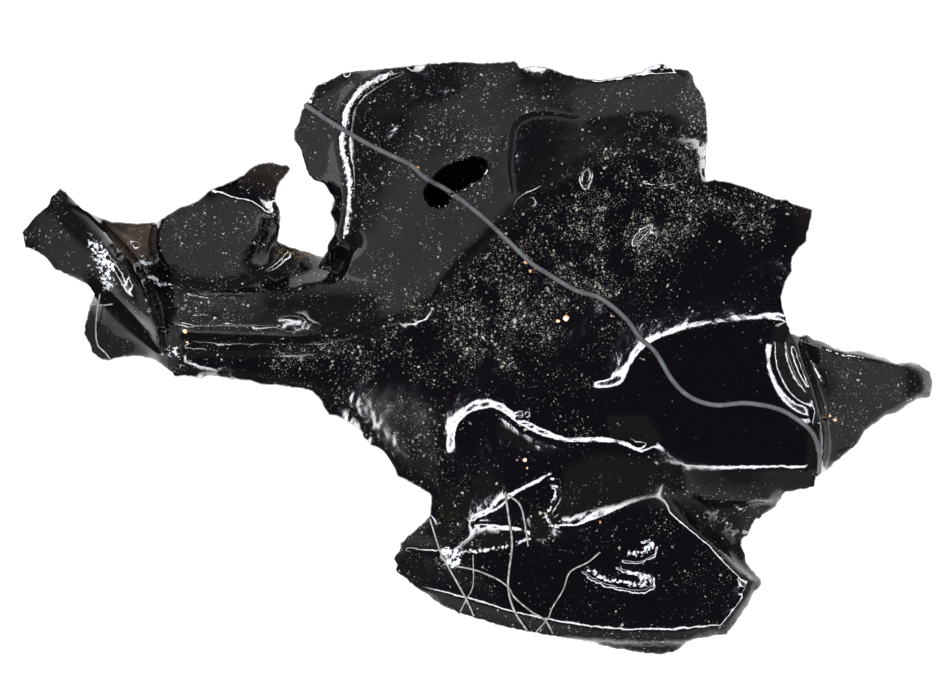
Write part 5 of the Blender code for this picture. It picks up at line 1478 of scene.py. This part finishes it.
# %% Scatter tree
FULL_TURN = 6.28                 # radians
BARER = 1.35                     # a power over 1 thins the dust most where there is little
FEW_LARGE = 4.0                  # a high power makes most grains small
scatter = bpy.data.node_groups.new("scatter_grains", "GeometryNodeTree")
ids = interface(scatter, ("Geometry", "INPUT", "NodeSocketGeometry", None),
                ("Grains per square metre", "INPUT", "NodeSocketFloat", 1e8),
                ("Least size", "INPUT", "NodeSocketFloat", 8e-6),
                ("Largest size", "INPUT", "NodeSocketFloat", 3e-5),
                ("Seed", "INPUT", "NodeSocketInt", 1),
                ("Finish", "INPUT", "NodeSocketMaterial", None),
                ("Geometry", "OUTPUT", "NodeSocketGeometry", None))
enter = add(scatter, "NodeGroupInput").outputs
amount = add(scatter, "GeometryNodeInputNamedAttribute", {"Name": "dust"}, data_type="FLOAT")
where = add(scatter, "ShaderNodeMath", {0: amount.outputs["Attribute"], 1: BARER}, operation="POWER")
density = add(scatter, "ShaderNodeMath", {0: where.outputs[0],
                                          1: enter["Grains per square metre"]}, operation="MULTIPLY")
spots = add(scatter, "GeometryNodeDistributePointsOnFaces",
            {"Mesh": enter["Geometry"], "Density": density.outputs[0], "Seed": enter["Seed"]})
stone = add(scatter, "GeometryNodeMeshIcoSphere", {"Radius": 1.0, "Subdivisions": 1})
turn = add(scatter, "FunctionNodeRandomValue", {"Seed": 5}, data_type="FLOAT_VECTOR")
turn.inputs[1].default_value = (FULL_TURN,) * 3
skew = add(scatter, "FunctionNodeRandomValue", {"Seed": 6}, data_type="FLOAT_VECTOR")
skew.inputs[0].default_value, skew.inputs[1].default_value = (0.5, 0.5, 0.4), (1.3, 1.0, 0.8)
lot = add(scatter, "FunctionNodeRandomValue", {"Seed": 7}, data_type="FLOAT")
few = add(scatter, "ShaderNodeMath", {0: lot.outputs[1], 1: FEW_LARGE}, operation="POWER")
size = add(scatter, "ShaderNodeMapRange", {"Value": few.outputs[0], "To Min": enter["Least size"],
                                           "To Max": enter["Largest size"]})
bulk = add(scatter, "ShaderNodeVectorMath", {0: skew.outputs["Value"], "Scale": size.outputs["Result"]},
           operation="SCALE")
on = add(scatter, "GeometryNodeInstanceOnPoints",
         {"Points": spots.outputs["Points"], "Instance": stone.outputs["Mesh"],
          "Rotation": turn.outputs["Value"], "Scale": bulk.outputs[0]})
real = add(scatter, "GeometryNodeRealizeInstances", {"Geometry": on.outputs["Instances"]})
done = add(scatter, "GeometryNodeSetMaterial", {"Geometry": real.outputs[0],
                                                "Material": enter["Finish"]})
add(scatter, "NodeGroupOutput", {"Geometry": done.outputs[0]})
print("scatter tree of", len(scatter.nodes), "nodes")

# %% [markdown]
# ## Laying the dust
# One layer of coarser grains lies among three layers of the finest.  The finest could be one
# layer, but three smaller meshes are lighter to handle, and each has a seed of its own, so the
# grains don't coincide.  Sizes are radii in metres.

# %% Scatter the dust
dust_grains = plain_mesh("settled_dust", glass, scatter,
                         {"Grains per square metre": 2.3e8, "Least size": 7.5e-6,
                          "Largest size": 3.6e-5, "Seed": 3, "Finish": dust_stone}, ids)
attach(dust_grains, "root")
print("dust faces", len(dust_grains.data.polygons))
for part, seed in (("fine_dust_a", 11), ("fine_dust_b", 12), ("fine_dust_c", 13)):
    fine = plain_mesh(part, glass, scatter,
                      {"Grains per square metre": 3.1e8, "Least size": 5e-6, "Largest size": 1.5e-5,
                       "Seed": seed, "Finish": dust_stone}, ids)
    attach(fine, "root")
    print(part, "faces", len(fine.data.polygons))

# %% [markdown]
# ## Lint
# Fine textile fibres, 22 to 35 micrometres thick, and one coarse woollen one of 80 have settled
# on the glass.  Cotton is pale grey and wool dark.  One flat grey would do at this size, but a
# fine mottle along them breaks up the light as real strands do.

# %% Lint
def yarn_finish(name, per_metre, dark, light, roughness):
    """A dull fibre finish, mottled between two greys."""
    made, tree = material(name)
    finish(tree, Base_Color=ramp(tree, noise(tree, per_metre, 2.0), (0.35, dark), (0.65, light)),
           Metallic=0.0, Roughness=roughness, IOR=1.53)
    return made


lint = yarn_finish("grey_cotton_lint", 12000.0, "#55534f", "#8b8987", 0.6)
dark_lint = yarn_finish("slate_wool_lint", 6000.0, "#303133", "#454648", 0.8)
print("yarns:", lint.name, dark_lint.name)

# %% [markdown]
# ## Fibres
# A fibre is a thin tube.  A bevelled curve would do, but a tube built in code is a closed mesh at
# once.  It follows the surface a hair's breadth above it, smoothed along its way, as a stiff
# fibre bridges the dips.

# %% Fibre helpers
BRIDGE = 6                       # points to either side over which a fibre bridges a dip


def tube(verts, faces, line, radius, sides=6):
    """Adds a closed tube along a line of (x, y, z) world points."""
    line = np.asarray(line)
    way = np.gradient(line, axis=0)
    way /= np.linalg.norm(way, axis=1)[:, None]
    side = np.cross(way, (0, 0, 1.0))
    side /= np.maximum(np.linalg.norm(side, axis=1)[:, None], 1e-9)
    lift = np.cross(side, way)
    start = len(verts)
    for k in range(len(line)):
        for s in range(sides):
            a = 2 * math.pi * s / sides
            verts.append(tuple(line[k] + radius * (math.cos(a) * side[k] + math.sin(a) * lift[k])))
    for k in range(len(line) - 1):
        for s in range(sides):
            a, b = start + k * sides + s, start + k * sides + (s + 1) % sides
            faces.append((a, b, b + sides, a + sides))
    faces.append(tuple(start + s for s in range(sides))[::-1])
    faces.append(tuple(start + (len(line) - 1) * sides + s for s in range(sides)))


def fibre(name, width_mm, hover_mm, yarn, *points):
    """One lint fibre that lies over the surface along sheet points."""
    line = spaced(curve([(x, y, 0) for x, y in points], 6), 3.0)
    h = read(softened(surface, 3.0), line[:, 0], line[:, 1])
    span = 2 * BRIDGE + 1
    floor_h = np.convolve(np.pad(h, BRIDGE, mode="edge"), np.ones(span) / span, "valid")
    h = np.maximum(h, floor_h) + hover_mm
    w = np.array([place(x, y, z) for (x, y), z in zip(line[:, :2], h)])
    verts, faces = [], []
    tube(verts, faces, w, width_mm * MM / 2)
    mesh = bpy.data.meshes.new(name)
    mesh.from_pydata(verts, [], faces)
    mesh.update()
    mesh.shade_smooth()
    fix = bmesh.new()
    fix.from_mesh(mesh)
    bmesh.ops.recalc_face_normals(fix, faces=fix.faces)
    fix.to_mesh(mesh)
    fix.free()
    mesh.materials.append(yarn)
    piece = put(name, mesh)
    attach(piece, "root")
    print(name, "%.0f micrometres thick" % (width_mm * 1000))


print("tubes of", tube.__defaults__[0], "sides")

# %% [markdown]
# ## Laying the lint
# The long woollen fibre crosses the whole chunk, two short ones lie by the stub, and six fine
# ones cross the bowl.  A hair simulation could drop them, but these have places of their own, so
# their lines are given one by one.  Widths and gaps are in millimetres.

# %% Lay the lint
fibre("lint_long", 0.080, 0.05, dark_lint, (305, 105), (335, 125), (360, 140), (385, 153), (410, 165),
      (425, 178), (450, 192), (480, 215), (505, 238), (530, 262), (545, 272), (575, 290), (600, 298),
      (625, 318), (640, 338), (655, 352), (672, 380), (690, 397), (715, 405), (745, 403), (775, 408),
      (795, 418), (812, 433), (819, 455), (818, 474))
fibre("lint_stub", 0.028, 0.02, lint, (100, 294), (97, 310), (95, 330), (97, 345), (104, 352),
      (110, 360))
fibre("lint_bar", 0.028, 0.02, lint, (89, 305), (96, 304), (104, 305), (112, 304))
fibre("lint_bowl_1", 0.03, 0.02, lint, (430, 519), (440, 551), (450, 570), (465, 597), (474, 616))
fibre("lint_bowl_2", 0.022, 0.02, lint, (473, 555), (473, 585), (466, 600), (460, 612))
fibre("lint_bowl_3", 0.035, 0.03, lint, (505, 492), (509, 520), (512, 545), (508, 585), (514, 610),
      (528, 632))
fibre("lint_bowl_4", 0.03, 0.03, lint, (508, 495), (520, 505), (525, 525), (528, 546))
fibre("lint_bowl_5", 0.028, 0.02, lint, (455, 566), (475, 570), (495, 578), (508, 587), (515, 598),
      (532, 612), (545, 620), (553, 634))
fibre("lint_bowl_6", 0.025, 0.03, lint, (600, 552), (588, 562), (570, 572), (563, 590), (552, 608),
      (548, 618), (536, 632))
print("nine fibres laid")

# %% [markdown]
# ## Mineral grains
# A handful of honey-coloured quartz and clay grains cling to the glass.  They could join the
# scattered dust, but each has a place of its own, so they are set down one by one: icospheres
# roughened at random, squashed, and sunk a little into the surface.

# %% Mineral grains
honey, tree = material("honey_quartz")
amber = ramp(tree, noise(tree, 7000.0, 3.0), (0.35, "#7a4a22"), (0.5, "#c08a52"), (0.66, "#ecd9bd"))
finish(tree, Base_Color=amber, Metallic=0.0, Roughness=0.35, IOR=1.54)
# x and y on the sheet, and millimetres across
GRAINS = ((566, 318, 0.10), (558, 321, 0.06), (185, 331, 0.08), (187, 342, 0.05), (835, 420, 0.07),
          (830, 416, 0.05), (525, 460, 0.06), (527, 468, 0.05), (526, 262, 0.07), (536, 268, 0.06),
          (530, 271, 0.05), (418, 168, 0.06), (600, 522, 0.04))
stones = bmesh.new()
pick = np.random.default_rng(71)
for x, y, across in GRAINS:
    made = bmesh.ops.create_icosphere(stones, subdivisions=2, radius=1.0)["verts"]
    shape = np.array([v.co[:] for v in made])
    shape *= 1 + pick.normal(0, 0.12, (len(shape), 1))
    shape *= pick.uniform(0.7, 1.2, 3) * across * MM / 2
    at = np.array(place(x, y, float(read(surface, x, y)) + across * 0.3))
    for v, co in zip(made, shape + at):
        v.co = co
mesh = bpy.data.meshes.new("mineral_grains")
stones.to_mesh(mesh)
stones.free()
mesh.materials.append(honey)
grains = put("mineral_grains", mesh)
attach(grains, "root")
print(len(GRAINS), "grains")

# %% [markdown]
# ## Floor
# The fragment lies on a pale opal sheet lit evenly from below, as on a light table, so nothing
# under the thin rims is in shadow.  A lamp under a real sheet would take long to render; a large
# square that glows by itself does the same.

# %% Floor
opal, tree = material("opal_light_sheet")
finish(tree, Base_Color=hex_linear("#8a8a8a"), Roughness=0.9, Emission_Color=(1, 1, 1, 1),
       Emission_Strength=1.0)
FLOOR_HALF, FLOOR_DROP = 0.4, 2e-5   # metres; a hair below the resting face
mesh = bpy.data.meshes.new("floor")
mesh.from_pydata([(x * FLOOR_HALF, y * FLOOR_HALF, -FLOOR_DROP)
                  for x, y in ((-1, -1), (1, -1), (1, 1), (-1, 1))], [], [(0, 1, 2, 3)])
mesh.materials.append(opal)
floor = put("floor", mesh)
print("floor %.1f m wide" % (2 * FLOOR_HALF))

# %% [markdown]
# ## Light
# A microscope's ring light shines down around the lens, inside a pale tent that glows towards
# the horizon.  The sky of the scene carries both: as a function of height above the horizon it
# is dark straight up, has one bright ring, and grows white lower down.  Lamps and a card tent
# could stand round the fragment, but a sky written as a formula has no size to get wrong.

# %% Ring light and tent
sky = bpy.data.worlds.new("ring_light_tent")
bpy.context.scene.world = sky
sky.use_nodes = True
tree = sky.node_tree
tree.nodes.clear()
direction = add(tree, "ShaderNodeTexCoord").outputs["Generated"]
height = add(tree, "ShaderNodeSeparateXYZ", {"Vector": direction}).outputs["Z"]
RING_DEG, RING_STRENGTH = (27.0, 32.5), 26.0   # from its inner to its outer edge, off the vertical
HALO_DEG, HALO_STRENGTH = (23.6, 36.0), 2.6
HALO_FALL = 3.0                  # how fast the halo fades away from the ring
EDGE = 0.004                     # softness of the ring's edges
RING_INNER, RING_OUTER = (math.cos(math.radians(angle)) for angle in RING_DEG)
HALO_INNER, HALO_OUTER = (math.cos(math.radians(angle)) for angle in HALO_DEG)
rise = spread(tree, height, RING_OUTER - EDGE, RING_OUTER + EDGE)
fall = spread(tree, height, RING_INNER + EDGE, RING_INNER - EDGE)
ring_lit = sums(tree, "MULTIPLY", sums(tree, "MULTIPLY", rise, fall), RING_STRENGTH)
# the tent scatters a little of the ring's light close beside it
inward = spread(tree, height, HALO_INNER, RING_INNER)
outward = spread(tree, height, HALO_OUTER, RING_OUTER)
beside_ring = sums(tree, "POWER", sums(tree, "MULTIPLY", inward, outward), HALO_FALL)
halo = sums(tree, "MULTIPLY", beside_ring, HALO_STRENGTH)
tent = ramp(tree, height, (0.0, "#e0e0e2"), (0.5, "#dedee0"), (0.64, "#cfcfd2"), (0.72, "#949496"),
            (0.78, "#5c5a5c"), (0.92, "#47404a"))
tone = add(tree, "ShaderNodeBackground", {"Color": tent, "Strength": 1.0}).outputs[0]
glow = add(tree, "ShaderNodeBackground", {"Color": (1, 1, 1, 1), "Strength": ring_lit}).outputs[0]
haze = add(tree, "ShaderNodeBackground", {"Color": hex_linear("#c8dcff"), "Strength": halo}).outputs[0]
both = add(tree, "ShaderNodeAddShader", {0: tone, 1: glow}).outputs[0]
both = add(tree, "ShaderNodeAddShader", {0: both, 1: haze}).outputs[0]
add(tree, "ShaderNodeOutputWorld", {"Surface": both})
bpy.context.scene.view_settings.view_transform = "Standard"
print("ring from %.1f to %.1f degrees off the vertical" % RING_DEG)
